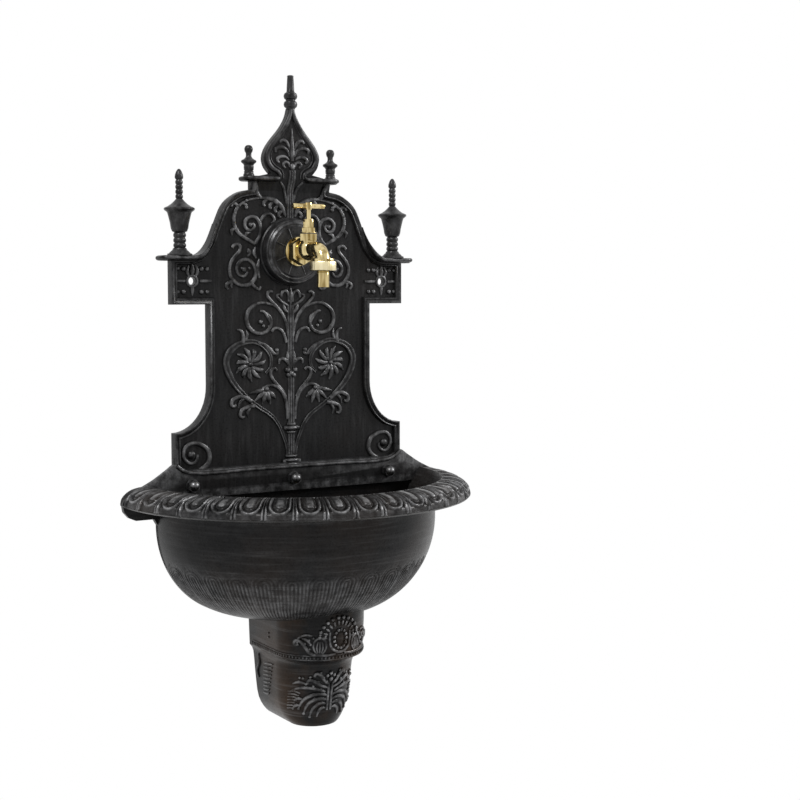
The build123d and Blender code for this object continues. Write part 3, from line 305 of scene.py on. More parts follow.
def rubbed_iron(name, brushing, dark, light, brown, bright_streaks):
    """Blackened grey iron: sandy skin, faint brushing, and graphite bright on what stands proud; on the
    basin the same share also carries painted shade and light.
    """
    finish, tree, shader, place = new_finish(name)
    streaks = noise(tree, place, 1, 5, 0.6, brushing)
    clouds = noise(tree, place, 14, 4, 0.6)
    sand = noise(tree, place, 420, 4, 0.7)
    grain = noise(tree, place, 1300, 3, 0.6)
    proud_and_painted_light = new_node(tree, "Attribute", {}, attribute_name="proud_and_painted_light").outputs["Fac"]
    patches = joined(tree, "MULTIPLY", ranged(tree, noise(tree, place, 95, 3, 0.55), 0.36, 0.64, 0.12),
                     ranged(tree, sand, 0.38, 0.62, 0.6))
    graphite_and_painted_light = joined(tree, "MULTIPLY", joined(tree, "MULTIPLY", proud_and_painted_light, patches),
                    ranged(tree, streaks, 0.3, 0.7, 0.6))
    bright = joined(tree, "MULTIPLY", ranged(tree, streaks, 0.54, 0.74, 0.0, bright_streaks),
                    ranged(tree, clouds, 0.4, 0.6, 0.2))
    tone = joined(tree, "ADD", ranged(tree, streaks, 0.32, 0.7, 0.0, 0.6),
                  ranged(tree, sand, 0.4, 0.66, 0.0, 0.4))
    black = blend(tree, tone, (dark, dark, dark * 1.04, 1), (light, light, light * 1.03, 1))
    aged = blend(tree, ranged(tree, clouds, 0.42, 0.7, 0.0, brown), black, RUST)
    feed(tree, shader, {
        "Base Color": blend(tree, joined(tree, "ADD", graphite_and_painted_light, bright), aged, GRAPHITE),
        "Metallic": 0.35,
        "Specular IOR Level": 0.14,
        "Roughness": ranged(tree, sand, 0.3, 0.7, 0.24, 0.4),
        "Normal": bumped(tree, joined(tree, "ADD", grain, sand), 0.3, 0.5 * MM),
    })
    return finish


flare = [(152 - 44 * math.cos(a * math.pi / 24), -122 - 53 * math.sin(a * math.pi / 24))
         for a in range(13)]
shoulder = run_through([
    (51.5, 107), (66, 104), (79, 96.5), (88, 87), (95, 72), (101.5, 56), (108, 42), (118, 30)], 3)
panel_right = [(51.5, 138), *shoulder, (127, 26.5), (154, 26), (154, -27), (108, -27), *flare,
               (152, -225)]
panel = cast_slab("panel", panel_right, 0, PANEL_EDGE_Y, BORDER_STEPS)
open_up(panel)
saw_off((0, 0, PANEL_TOP * MM), (0, 0, 1))
close_up()
face_out(panel)
mark_proud(panel, lambda out: (out - BORDER_SHINE_FROM) / BORDER_SHINE_OVER * BORDER_SHINE)

skirt_right = run_through([
    (132, -219), (143, -215.5), (152, -210), (164, -217.4), (178, -226.4), (191, -233.2), (201, -238),
    (205, -242.4), (200, -247), (160, -251)], 4)
skirt = cast_slab("skirt", skirt_right, FIELD_Y, SKIRT_EDGE_Y, [(0.3, 0.6), (0.6, 0.2)])
mark_proud(skirt, lambda out: SKIRT_SHINE)

crown_right = run_through([
    (3.6, 203.2), (6, 194), (10.4, 185.5), (16.6, 176.8), (26, 166), (33.6, 155), (36.8, 144.5),
    (35, 135.5), (30, 128.5), (23.4, 122)], 3)
crown = cast_slab("crown", crown_right, CROWN_BACK, CROWN_EDGE_Y, [(0.4, 0.5), (0.6, 0.2)])

APRON_FOOT = 104.0
APRON_TOP = 123.0
APRON_BACK = -4.0


def apron_y(z):
    """The field leans forward below the crown, so that the stem runs on into it."""
    return FIELD_Y + (CROWN_Y - FIELD_Y) * ramp(z, APRON_FOOT, APRON_TOP)


def apron_ring(z):
    """Section of the apron at one level: as wide as the neck, and narrower behind the crown."""
    half = 43 if z <= APRON_TOP else 20
    return [(-half, APRON_BACK, z), (-half, apron_y(z), z), (half, apron_y(z), z), (half, APRON_BACK, z)]


apron_levels = [APRON_FOOT + (APRON_TOP - APRON_FOOT) * k / 10 for k in range(11)] + [APRON_TOP + 5]
apron = face_out(skin("apron", [apron_ring(z) for z in apron_levels]))

LEDGE_BACK = -1.0
LEDGE_FRONT = -22.0
LEDGE_END_R = 11.0
LEDGE_THIN = 1.5
LEDGE_THICK = 3.1
THINS_FROM = 6.0
THINS_OVER = 5.2
LEDGE_EDGE = [(6.2, 0.0), (5.6, 0.10), (4.6, 0.16), (2.0, 0.26), (0.8, 0.36), (0.1, 0.52), (0.0, 0.68),
              (0.3, 0.84), (1.0, 0.95), (2.2, 1.0)]


def swept_ledge(side, line, grow_from, grow_to, start_front, end_x):
    """A ledge that grows out of a border on a curved run and ends round, by its middle line (x, z)."""
    end_z = line[-1][1]
    line = run_through(line, 4)
    line += [(end_x + LEDGE_END_R * math.sin(a * math.pi / 16), end_z) for a in range(1, 8)]
    line += [(end_x + LEDGE_END_R - 0.1, end_z)]
    rings, run = [], 0.0
    for k, (x, z) in enumerate(line):
        before, after = line[max(k - 1, 0)], line[min(k + 1, len(line) - 1)]
        dx, dz = after[0] - before[0], after[1] - before[1]
        length = math.hypot(dx, dz)
        up = (-dz / length, dx / length)
        run += math.hypot(x - before[0], z - before[1])
        grown = ramp(run, grow_from, grow_to)
        half = LEDGE_THIN + (LEDGE_THICK - LEDGE_THIN) * grown
        past = x - end_x
        if past > THINS_FROM:
            half *= math.sqrt(max(1 - ((past - THINS_FROM) / THINS_OVER) ** 2, 0.04))
        back, front = LEDGE_BACK, start_front + (LEDGE_FRONT - start_front) * grown
        if past > 0:
            reach = math.sqrt(max(LEDGE_END_R ** 2 - past ** 2, 0.3))
            back, front = max(LEDGE_BACK, -LEDGE_END_R + reach), -LEDGE_END_R - reach
        depth = back - front
        ring = [(-1.0, back)]
        ring += [(share * 2 - 1, front + min(set_back, depth / 2)) for set_back, share in LEDGE_EDGE]
        ring += [(1.0, back)]
        rings.append([(side * (x + up[0] * half * u), y, z + up[1] * half * u) for u, y in ring])
    return face_out(skin("ledge", rings))


SIDE_LINE = [(97, 66), (101, 55), (106, 43), (113, 33), (122, 27.2), (134, 26), (150, 26), (158, 26)]
TOP_LINE = [(17.4, 131), (15.8, 127), (16.0, 123), (18.6, 120.2), (24, 119.4), (38, 119.4), (53, 119.4)]
ledges = [swept_ledge(side, SIDE_LINE, 0, 46, -13.2, 158) for side in (1, -1)]
ledges += [swept_ledge(side, TOP_LINE, 3, 17, -15.4, 53) for side in (1, -1)]
for piece in ledges:
    mark_proud(piece, lambda out: LEDGE_SHINE + (out - LEDGE_SHINE_FROM) / LEDGE_SHINE_OVER)

disc_profile = [(10.8, 16), (30, 16), (30, 28.2), (40.6, 28.2), (40.6, 25.4), (39.4, 24.2), (38.8, 15.6),
                (38, 13.9), (36.8, 13.0), (35.6, 13.5), (34.9, 13.1), (33.9, 11.6), (32.6, 11.0),
                (31.4, 11.5), (30.6, 11.3), (29.4, 10.2), (10.8, 10.0), (10.8, 16)]
disc = turned("disc", disc_profile, 0, DISC_FROM_Y, DISC_Z, 96, axis=(0, 1, 0))
mark_proud(disc, lambda out: DISC_RING_SHINE if DISC_RING_FROM < out < DISC_RING_TO else DISC_SHINE)
drill(panel, 0, DISC_Z, DISC_BORE_R, 5, -12)
for x in (-WALL_HOLE_X, WALL_HOLE_X):
    drill(panel, x, 0, WALL_HOLE_R, 5, -20)
for x in (-SCREW_X, 0, SCREW_X):
    drill(skirt, x, SCREW_Z, SCREW_HOLE_R, 0, -20)

plate = one_casting("plate_casting", [panel, skirt, crown, apron, *ledges, disc])
plate_iron = rubbed_iron("plate_iron", (230, 230, 26), 0.006, 0.02, 0.04, 0.03)
plate.data.materials.append(plate_iron)
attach(plate, "fountain")
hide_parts("back_plate")


# Relief of the back plate: scrolls, leaves and flowers carved in the pattern and cast with the plate.
# Each is a rounded strand, or a reeded one in the heart, that tapers and curls, the same on both sides
# of the middle stem.

ROUND_STRAND = [(-1, -0.5), (-1, 0.3), (-0.86, 0.74), (-0.5, 1.06), (0, 1.18), (0.5, 1.06), (0.86, 0.74),
                (1, 0.3), (1, -0.5)]
REEDED_STRAND = [(-1, -0.5), (-1, 0.4), (-0.86, 0.82), (-0.6, 0.98), (-0.3, 0.78), (0, 0.6), (0.3, 0.78),
                 (0.6, 0.98), (0.86, 0.82), (1, 0.4), (1, -0.5)]
STRAND_STEPS = 5
HIGHEST = 5.2
CREST_FROM = 0.56
CREST_OVER = 0.6
DAISY_X = 54
DAISY_Z = -98
FROND_X = 33
FROND_Z = -128


def strand_section(name, section):
    """The section of a strand, one millimetre to each side."""
    curve = bpy.data.curves.new(name, "CURVE")
    spline = curve.splines.new("POLY")
    spline.points.add(len(section) - 1)
    for point, (across, up) in zip(spline.points, section):
        point.co = (across * MM, up * MM, 0, 1)
    spline.use_cyclic_u = True
    shape = bpy.data.objects.new(name, curve)
    bpy.context.scene.collection.objects.link(shape)
    return shape


def carve(name, section, ground, strands, shine=0.55):
    """Strands on a flat ground: each has half-widths from its start to its end, and points (x, z).
    Their crests are marked for the graphite."""
    shape = strand_section(name + "_section", section)
    curve = bpy.data.curves.new(name, "CURVE")
    curve.dimensions = "2D"
    curve.resolution_u = STRAND_STEPS
    curve.bevel_mode = "OBJECT"
    curve.bevel_object = shape
    curve.use_fill_caps = True
    for widths, points in strands:
        spline = curve.splines.new("BEZIER")
        spline.bezier_points.add(len(points) - 1)
        for k, (knot, (x, z)) in enumerate(zip(spline.bezier_points, points)):
            knot.co = (x * MM, z * MM, 0)
            knot.handle_left_type = knot.handle_right_type = "AUTO"
            along = k / (len(points) - 1) * (len(widths) - 1)
            low = min(int(along), len(widths) - 2)
            knot.radius = widths[low] + (widths[low + 1] - widths[low]) * (along - low)
    piece = bpy.data.objects.new(name, curve)
    bpy.context.scene.collection.objects.link(piece)
    take(piece)
    bpy.ops.object.convert(target="MESH")
    piece = bpy.context.object
    crest = [(max(0.0, up - CREST_FROM) / CREST_OVER) ** 1.4 * shine for _, up in section]
    piece.data.attributes.new("proud_and_painted_light", "FLOAT", "POINT").data.foreach_set(
        "value", [crest[k % len(crest)] for k in range(len(piece.data.vertices))])
    piece.rotation_euler = (math.pi / 2, 0, 0)
    piece.location = (0, ground * MM, 0)
    bpy.ops.object.transform_apply(location=True, rotation=True, scale=True)
    bpy.data.objects.remove(shape)
    for v in piece.data.vertices:
        rise = ground - v.co.y / MM
        v.co.y = (ground - HIGHEST * math.tanh(rise / HIGHEST)) * MM
    return face_out(piece, 60)


def stud(name, places, ground, shine=1.3):
    """Bosses on a flat ground, from (x, z, radius, height) and the radius upwards where they are oval."""
    let_go()
    bpy.ops.mesh.primitive_uv_sphere_add(segments=14, ring_count=8, radius=MM)
    pattern = bpy.context.object
    ball = [v.co.copy() for v in pattern.data.vertices]
    faces = [tuple(face.vertices) for face in pattern.data.polygons]
    bpy.data.objects.remove(pattern)
    points, shells = [], []
    for x, z, r, height, *tall in places:
        up = tall[0] if tall else r
        shells += [tuple(k + len(points) for k in face) for face in faces]
        points += [(x + v.x / MM * r, ground + v.y / MM * height, z + v.z / MM * up) for v in ball]
    piece = new_piece(name, points, shells)
    piece.data.attributes.new("proud_and_painted_light", "FLOAT", "POINT").data.foreach_set(
        "value", [min(1.0, max(0.0, -v.y / MM - 0.5) * shine) for v in ball] * len(places))
    return face_out(piece, 60)


def mirrored(strands):
    """Strands of the right half and of the left."""
    return [*strands, *[(widths, [(-x, z) for x, z in points]) for widths, points in strands]]


def mirrored_studs(places):
    """Bosses of the right half and of the left."""
    return [*places, *[(-x, *rest) for x, *rest in places]]


def around(x, z, r, turn):
    """The point at a distance and a turn from a middle."""
    return (x + r * math.cos(turn), z + r * math.sin(turn))


upper_scrolls = [
    ((1.6, 2.6, 2.8, 2.4), [
        (40, 98), (57, 94), (68, 87), (73, 78), (74, 68), (71, 60), (64, 53), (55, 48), (47, 44)]),
    ((1.6, 3.4, 3.8, 3.2, 1.8), [(6.5, 77), (11, 87), (19, 94), (29, 97.5), (40, 98)]),
    *[((2.0, 2.5, 1.9), [(x, z), (x + 4.4, z - 2.6), (x + 6.2, z - 6.4), (x + 4.4, z - 8.6)])
      for x, z in ((9, 84), (14, 90), (21, 94), (29, 96.8))],
    ((2.4, 2.6, 2.4, 1.8), [
        (47, 44), (41, 52), (39.5, 62), (42, 71), (49, 75.5), (57, 73), (60, 66), (56, 60), (50, 60.5),
        (47.5, 65), (50, 68)]),
    ((1.6, 2.4, 2.2, 1.6), [(41, 64), (38, 73), (31, 79), (23.5, 77), (21, 71.5), (25, 68)]),
    ((2.2, 2.4, 2.8, 2.8, 2.4, 1.8), [
        (76.5, 39), (73, 42.5), (68, 42.5), (66, 38), (72, 30), (78, 22), (80, 13), (77, 3), (70, -3),
        (61, -5), (52, -2), (46.5, 6), (47, 16), (53, 23.5), (62, 25), (69, 20), (70.5, 12), (66, 6.5),
        (60, 6.5), (57, 11)]),
    ((1.6, 3.6, 1.2), [(41, 4), (43.5, 14), (41, 26)]),
    ((1.4, 3.0, 1.2), [(45, 27), (48, 33), (46, 40)]),
    ((2.4, 2.6, 1.4), [(73, 1), (80, -1.5), (84.5, -5), (82, -9.5)]),
    ((1.6, 2.2, 1.0), [(76, 0), (78, -4), (77, -8)]),
    ((2.4, 2.4, 1.4), [(52, -2), (47, -7), (42, -9.4), (39, -6.5)]),
    ((1.4, 2.6, 1.4), [(56, 38), (53.5, 34), (56, 29)]),
    ((2.0, 2.4, 1.0), [(68, 87), (73, 90), (77, 87.5)]),
    ((2.0, 2.2, 1.0), [(62, 91), (58, 88.5), (57, 84)]),
    ((1.8, 2.6, 1.0), [(72, 62), (77, 58), (76, 53)]),
    ((1.8, 2.4, 1.0), [(60, 51), (57, 56), (52, 57)]),
]
lower_scrolls = [
    ((2.0, 2.4, 2.2, 1.8), [
        (3, -66), (7, -47), (16, -33), (27, -22), (31, -16.5), (28.5, -12), (24, -12.5)]),
    ((1.8, 2.2, 2.8, 3.0, 2.6, 2.2, 1.6), [
        (17, -31), (28, -27), (40, -25.5), (51, -30), (58, -39), (58, -49), (53, -57), (44, -61.5),
        (34, -60), (28, -55), (26, -48), (28, -41.5), (33, -37.5)]),
    ((1.6, 2.2, 1.6), [(26.5, -50), (31, -42), (36, -36), (41, -35)]),
    ((2.2, 2.2, 2.0), [(6, -73), (8, -66), (12, -59), (17, -56), (22, -56), (25.5, -60)]),
    ((2.4, 2.6, 1.8), [(44, -72.5), (35, -75.5), (27, -81.5), (22, -86.5), (18.5, -86), (18, -82.5)]),
    ((3.0, 2.6, 1.0), [(64, -73), (63, -66), (66, -58), (71, -57)]),
    ((2.4, 2.2, 0.8), [(60, -70), (58, -63), (59, -57)]),
    ((1.8, 2.4, 2.4, 1.8), [
        (19, -106), (22, -103.5), (27, -107), (26, -114), (20, -122), (12, -130), (7, -138)]),
    ((2.2, 2.6, 2.4, 1.6), [
        (5, -165), (6, -150), (9, -138), (14, -130), (22, -124.5), (30, -124), (37, -127), (41, -131)]),
    *[((1.8, 3.2, 3.2, 1.2), [around(FROND_X, FROND_Z, r, a) for r in (3, 7.5, 12, reach)])
      for a, reach in ((-0.2, 23), (-0.74, 22), (-1.28, 19), (-1.84, 19), (-2.4, 17))],
    ((3.2, 3.0, 2.0), [(53, -142), (64, -136), (73, -137), (79, -142), (77, -147), (73, -145.5)]),
    ((2.4, 2.4, 1.0), [(62, -137), (68, -143), (70, -149)]),
    ((3.2, 2.8, 1.8), [(48, -147), (60, -149), (67, -154), (66.5, -160), (62, -160)]),
    ((2.4, 2.2, 1.0), [(54, -148), (58, -155), (57, -161)]),
    ((1.6, 2.8, 2.2, 1.4), [(2, -102), (6, -95.5), (11, -92.5), (15.5, -94.5), (16, -98.5)]),
    ((1.4, 2.6, 1.0), [(2, -100), (4.6, -92), (4, -83)]),
    ((1.8, 2.4, 1.8), [(2.5, -24), (3.5, -14), (8, -11), (12, -14.5), (12.5, -19)]),
    ((1.6, 2.2, 1.4), [(3, -29), (9, -26), (15, -22), (18, -17), (14.5, -15)]),
    ((1.4, 2.4, 1.0), [(3, -38), (8.5, -32), (9, -25)]),
    ((2.6, 3.2, 2.8, 2.0), [
        (150, -203), (149, -212), (141, -219), (128, -221), (116, -217), (109, -210), (108, -202),
        (111, -195), (118, -190), (128, -187.5), (136, -190), (140.5, -198), (138, -207), (130, -211),
        (124, -207), (123, -201)]),
]
heart = [((2.2, 2.4, 3.0, 4.2, 4.4, 3.2, 2.6, 1.8), [
    (5, -210), (6.5, -198), (11, -185), (17, -172), (27, -160), (42, -150), (56, -140), (66, -131),
    (75, -121), (81, -111), (85, -100), (85.5, -92), (82, -84), (75, -77), (66, -73), (55, -71),
    (44, -73), (35, -79), (28.5, -87), (26.5, -95), (28, -103), (34, -109)])]
daisy = [((1.0, 2.8, 3.2, 1.2),
          [around(DAISY_X, DAISY_Z, r, 0.2 + 2 * math.pi * k / 11 + bend)
           for r, bend in ((3, 0), (9, 0.12), (15, 0.0), (21 if k % 3 else 18, -0.14))])
         for k in range(11)]
daisy += [((1.4, 2.4, 1.0),
           [around(DAISY_X, DAISY_Z, r, 0.5 + 2 * math.pi * k / 7) for r in (2, 6.5, 11.5)])
          for k in range(7)]
stem_reeds = [((1.6, 1.6), [(x, low), (x, (low + high) / 2), (x, high)])
              for low, high in ((-208, -181), (-171, -28)) for x in (-3.1, 0, 3.1)]
stem_knops = [(widths, [(-reach, z), (0, z), (reach, z)]) for z, reach, widths in (
    (-170.6, 5.5, (1.5, 1.8, 1.5)), (-176, 10.5, (2.6, 4.2, 2.6)), (-181.4, 6, (1.5, 1.8, 1.5)),
    (-209.6, 8, (1.8, 2.2, 1.8)), (-216.4, 12, (3.0, 3.6, 3.0)))]
block_bars = [(widths, [(WALL_HOLE_X + x, z) for x, z in points]) for widths, points in (
    ((2.0, 2.4, 1.8), [(9, 0), (14, 0), (20, 0)]),
    ((2.0, 2.4, 1.8), [(-9, 0), (-16, 0), (-24, 0)]),
    ((1.4, 3.4, 1.4), [(0, 5), (0, 12), (0, 20)]),
    ((1.4, 2.6, 1.0), [(-4, 5), (-6.4, 11), (-4.4, 18)]),
    ((1.4, 2.6, 1.0), [(4, 5), (6.4, 11), (4.4, 18)]),
    ((2.2, 2.6, 1.0), [(0, -7), (0, -11), (0, -17)]),
    ((1.7, 1.7), [around(0, 0, 6.4, a * math.pi / 6) for a in range(13)]))]
bud = [((1.2, 3.6, 0.8), [(0, -28), (0, -18), (0, -5)])]
scroll_work = carve("scroll_work", ROUND_STRAND, FIELD_Y,
                    mirrored(upper_scrolls + lower_scrolls + daisy) + bud)
heart_work = carve("heart_work", REEDED_STRAND, FIELD_Y, mirrored(heart))
stem_work = carve("stem_work", ROUND_STRAND, FIELD_Y, stem_reeds + stem_knops + mirrored(block_bars), 0.5)
field_studs = stud("field_studs", mirrored_studs([
    (77, 87.5, 2.8, 2.8), (57.5, 86, 2.8, 2.8), (52.5, 66, 3.4, 3.4), (61, 13.5, 3.6, 3.4),
    (55, 34, 2.8, 2.6), (57.5, 94, 2.8, 3.8), (67, 88, 2.8, 3.8), (72.5, 79, 2.6, 3.6),
    (74, 69, 2.6, 3.6), (71, 60.5, 2.8, 3.8), (64, 53, 2.6, 3.6), (15, 80, 2.6, 2.6), (64, 15, 2.2, 3),
    (54, 15, 2.2, 2.6), (40, -48, 3.2, 3.2), (36.5, -53, 2.6, 2.6), (29, -54, 2.2, 2.4),
    (DAISY_X, DAISY_Z, 3.4, 5), (19, -82, 3.2, 3.6), (FROND_X, FROND_Z, 3.6, 4.6), (5, -106, 4, 4.6),
    (3.4, -112, 3.6, 4.2), (5.6, -94, 2.2, 3.4), (130.5, -201, 5.4, 4.6), (138, 14, 3.4, 3.4),
    (145, 14, 2.8, 2.8), (115.6, 14, 3.4, 3.4), (108.6, 14, 3.0, 3.0), (138, -12.5, 3.4, 3.4),
    (145, -12.5, 2.8, 2.8), (115.6, -12.5, 3.4, 3.4), (108.6, -12.5, 3.0, 3.0)]) + [
    (0, -176, 10, 5.4, 3.6), (0, -171.5, 7, 4.4, 2.2), (0, -181, 7.4, 4.4, 2.2), (0, -210, 9, 5, 2.4),
    (0, -215, 11.5, 5.6, 3.2), (0, -219.5, 13, 6, 2.6), (0, -110, 4, 4.8)], FIELD_Y)

top_reeds = [((1.7, 1.7), [(x, z) for z in (72, 84, 96, 104, 108, 112, 116, 120, 124, 131)])
             for x in (-3.1, 0, 3.1)]
top_leaves = [((1.0, 2.2, 1.2), [(4.5, 90), (6, 100), (9, 110), (15, 117)]),
              ((3.4, 5.0, 3.6, 1.4), [(49, 116), (47.5, 109), (43.5, 102), (37, 97.5)])]
stem_top = carve("stem_top", ROUND_STRAND, FIELD_Y, top_reeds + mirrored(top_leaves), 0.45)
for v in stem_top.data.vertices:
    v.co.y += (apron_y(v.co.z / MM) - FIELD_Y) * MM

crown_rolls = [
    ((2.2, 2.8, 3.3, 3.3, 2.9, 2.2), [
        (16, 121), (16.4, 125.5), (20, 129.2), (26.5, 132.8), (31, 138.5), (33, 145.5), (30, 154.5),
        (23.2, 164), (16, 172.5), (9.6, 181.5), (4.8, 190), (2.2, 197), (1.2, 203)]),
    ((0.9, 0.9), [(11.4, 121), (12, 127), (15.5, 132), (22.5, 136), (26.6, 141), (28, 146.5), (25.4, 154),
                  (19.4, 162.5), (12.6, 171), (7, 179.5), (3, 187)]),
]
palmette = [
    ((1.2, 2.2, 2.4, 1.6), [(3.4, 154), (5, 160), (8.6, 164.8), (13, 166), (16, 163.2)]),
    ((1.2, 2.4, 2.6, 1.6), [(3, 147.5), (6, 153), (11.5, 157), (17.4, 157.4), (21.6, 155), (22, 151.4)]),
    ((1.2, 2.2, 2.4, 1.6), [(4, 143), (8, 146), (13, 146.8), (18, 145.4), (20, 142), (17.6, 139.4)]),
    ((1.6, 2.2, 1.8), [(3.4, 135), (5.6, 139.6), (9.4, 140), (11.8, 136.6), (9.4, 133.4)]),
]
spear = [((2.4, 3.6, 2.4, 0.7), [(0, 142), (0, 150), (0, 164), (0, 180)])]
crown_work = [carve("crown_rolls", ROUND_STRAND, CROWN_Y, mirrored(crown_rolls), 0.2),
              carve("palmette", ROUND_STRAND, CROWN_Y, mirrored(palmette) + spear),
              stud("crown_knob", [(0, 135, 3.8, 4.4, 5)], CROWN_Y)]

disc_ridges = carve("disc_ridges", ROUND_STRAND, DISC_FACE_Y, [
    ((0.8, 0.7), [around(0, DISC_Z, r, math.pi * (k + 0.5) / 4) for r in (16.5, 23, 29)])
    for k in range(8)])
skirt_bead = carve("skirt_bead", ROUND_STRAND, BORDER_Y, [
    ((2.4, 2.4), [(-151, -212), (-143, -218), (-132, -221.5), (-60, -222), (0, -222), (60, -222),
                  (132, -221.5), (143, -218), (151, -212)])], 0.45)

relief = one_casting("plate_relief", [scroll_work, heart_work, stem_work, stem_top, field_studs,
                                      *crown_work, disc_ridges, skirt_bead])
relief.data.materials.append(plate_iron)
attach(relief, "fountain")


# Finials: four turned posts of cast iron and a spire, each held by a spigot in its ledge or in the crown.
# They stand close to the wall, so their backs are cast flat.

FINIAL_Y = -9.0
FINIAL_BACK = -0.3
FINIAL_SHINE = 0.13
URN_X = 142.5
URN_Z = 29.0
SMALL_X = 54.5
SMALL_Z = 122.5
SPIRE_Y = -10.8
SPIRE_Z = 203.0
RING_SWELL = ((0.06, 0.1), (0.2, 0.72), (0.5, 1.0), (0.8, 0.72), (0.94, 0.1))


def rings_of(r, groove, from_h, pitch, count):
    """Rounded rings one above another, with grooves between them."""
    return [(groove + (r - groove) * swell, from_h + pitch * (k + share))
            for k in range(count) for share, swell in RING_SWELL]


urn_profile = [(0, 0), (14.4, 0), (14.4, 1.5), (13.9, 2.2), (12.4, 2.5), (12.0, 3.2), (11.0, 3.9),
               (10.6, 4.6), (9.0, 5.8), (8.0, 7.4), (7.6, 8.3), *rings_of(7.4, 6.1, 8.6, 5.8, 3),
               (6.2, 26.0), (8.6, 27.4), (10.0, 31), (10.8, 36.5), (12.2, 42.5), (13.6, 48.0),
               (14.4, 49.4), (16.6, 51.0), (17.6, 52.2), (17.6, 53.6), (16.6, 54.4), (13.2, 55.8),
               (9.4, 58.4), (6.4, 61.2), (4.4, 63.4), *rings_of(4.4, 3.4, 64.1, 5.4, 4), (3.4, 85.9),
               (4.6, 87.2), (4.9, 88.9), (4.5, 91.6), (3.2, 95.2), (1.6, 97.6), (0, 98.3)]
small_profile = [(0, 0), (6.5, 0), (6.5, 1.6), (6.0, 2.4), (5.5, 3.4), (5.7, 5.2), (5.0, 6.2), (5.7, 7.2),
                 (5.9, 10.5), (5.6, 12.4), (6.6, 14.0), (8.4, 15.4), (9.0, 16.4), (9.0, 17.4),
                 (8.2, 18.4), (6.4, 19.2), (4.4, 20.8), (3.4, 22.4), (3.2, 24.6), (3.4, 26.6),
                 (4.4, 28.0), (5.0, 30.4), (4.9, 32.2), (4.2, 34.0), (2.8, 35.4), (0, 36.0)]
spire_profile = [(0, 0), (5.4, 0), (5.4, 0.5), *rings_of(8.2, 5.4, 0.6, 9.6, 2), (5.0, 20.0), (4.6, 20.8),
                 (4.4, 26), (3.7, 37.4), (3.9, 38.0), (3.7, 38.8), (2.6, 39.4), (0, 39.6)]
finial_iron = rubbed_iron("finial_iron", (180, 180, 60), 0.006, 0.022, 0.04, 0.05)
for node, profile, x, y, z in (("left_urn_finial", urn_profile, -URN_X, FINIAL_Y, URN_Z),
                               ("right_urn_finial", urn_profile, URN_X, FINIAL_Y, URN_Z),
                               ("left_small_finial", small_profile, -SMALL_X, FINIAL_Y, SMALL_Z),
                               ("right_small_finial", small_profile, SMALL_X, FINIAL_Y, SMALL_Z),
                               ("crown_spire", spire_profile, 0, SPIRE_Y, SPIRE_Z)):
    finial = turned(node + "_turned", profile, x, y, z, 44, flat_back=FINIAL_BACK)
    mark_proud(finial, lambda out: FINIAL_SHINE)
    finial.data.materials.append(finial_iron)
    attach(finial, "fountain")
    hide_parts(node)


# Basin: a half-round iron bowl cast with its flat back wall, which the skirt screws pull against the
# plate. Its rolled rim carries twenty eggs with darts between them, and low nested arches run down to
# its foot.

BASIN_Y = -10.0
BACK_WALL_Y = -6.6
WALL_THICK = 6.0
FLOOR_R = 66.0
BOWL_REACH = 106.5
BOWL_DEPTH = 114.0
BOWL_TOP = -280.0
BOWL_FOOT = BOWL_TOP - BOWL_DEPTH
EGGS = 20
EGG_STEPS = 26
EGG_HALF = 17
EGG_NOSE = 25.5
EGG_DEPTH = 3.8
ARCHES = 16
ARCH_HALF = 15
ARCH_FROM = 43
ARCH_DEPTH = 1.5
rim_run = run_through([
    (184.5, -234.5), (193.5, -235.3), (202, -237.5), (209, -241.6), (213.6, -246.8), (215.2, -252.5)], 8)
bowl_run = [(FLOOR_R + BOWL_REACH * math.cos(a * math.pi / 192),
             BOWL_TOP - BOWL_DEPTH * math.sin(a * math.pi / 192)) for a in range(97)]
outside = [(180.5, -234.5), *rim_run, (214.9, -254.6), (213, -256.5), (210, -257.4), (190, -259.6),
           (174, -261.8), (172.5, -262.4), (172.5, -271), *bowl_run, (0, BOWL_FOOT)]
inner_run = [(FLOOR_R + (BOWL_REACH - WALL_THICK) * math.sin(a * math.pi / 24),
              BOWL_TOP - (BOWL_DEPTH - WALL_THICK) * math.cos(a * math.pi / 24)) for a in range(1, 13)]
inside = [(0, BOWL_FOOT + WALL_THICK), (FLOOR_R, BOWL_FOOT + WALL_THICK), *inner_run, (166.5, -262),
          (168, -255), (172, -247), (179.4, -236.4)]


def ridge(value, middle, half):
    """A rounded ridge of height 1."""
    t = abs(value - middle) / half
    return max(0.0, 1 - t * t) if t < 1 else 0.0


def egg_height(across, down):
    """Height of the rim's carving below its full section, across from an egg's middle and down it."""
    from_axis = across if down < EGG_NOSE else math.hypot(across, down - EGG_NOSE)
    body = 0.92 * max(0.0, 1 - (from_axis / 8.8) ** 4) - 0.3 * ridge(from_axis, 4.8, 1.2)
    egg = max(body, ridge(from_axis, 11.6, 2.2))
    spread = ramp(down, 20, 34)
    dart = ridge(EGG_HALF - across, 0.9 + 0.9 * spread, 1.1 + 0.6 * spread)
    depth = EGG_DEPTH * ramp(down, 0.5, 4) * (1 - 0.5 * ramp(down, 31, 38))
    return -depth * (1 - max(egg, dart))


def arch_height(across, down):
    """Height of the nested arches on the bowl, across from an arch's middle and down from its crown."""
    from_axis = across if down > ARCH_HALF else math.hypot(across, down - ARCH_HALF)
    lines = max(ridge(from_axis, middle, 1.9) for middle in (0, 4.4, 8.8, 13.2))
    return -ARCH_DEPTH * (1 - lines) * ramp(ARCH_HALF + 0.4 - from_axis, -0.2, 1.0)


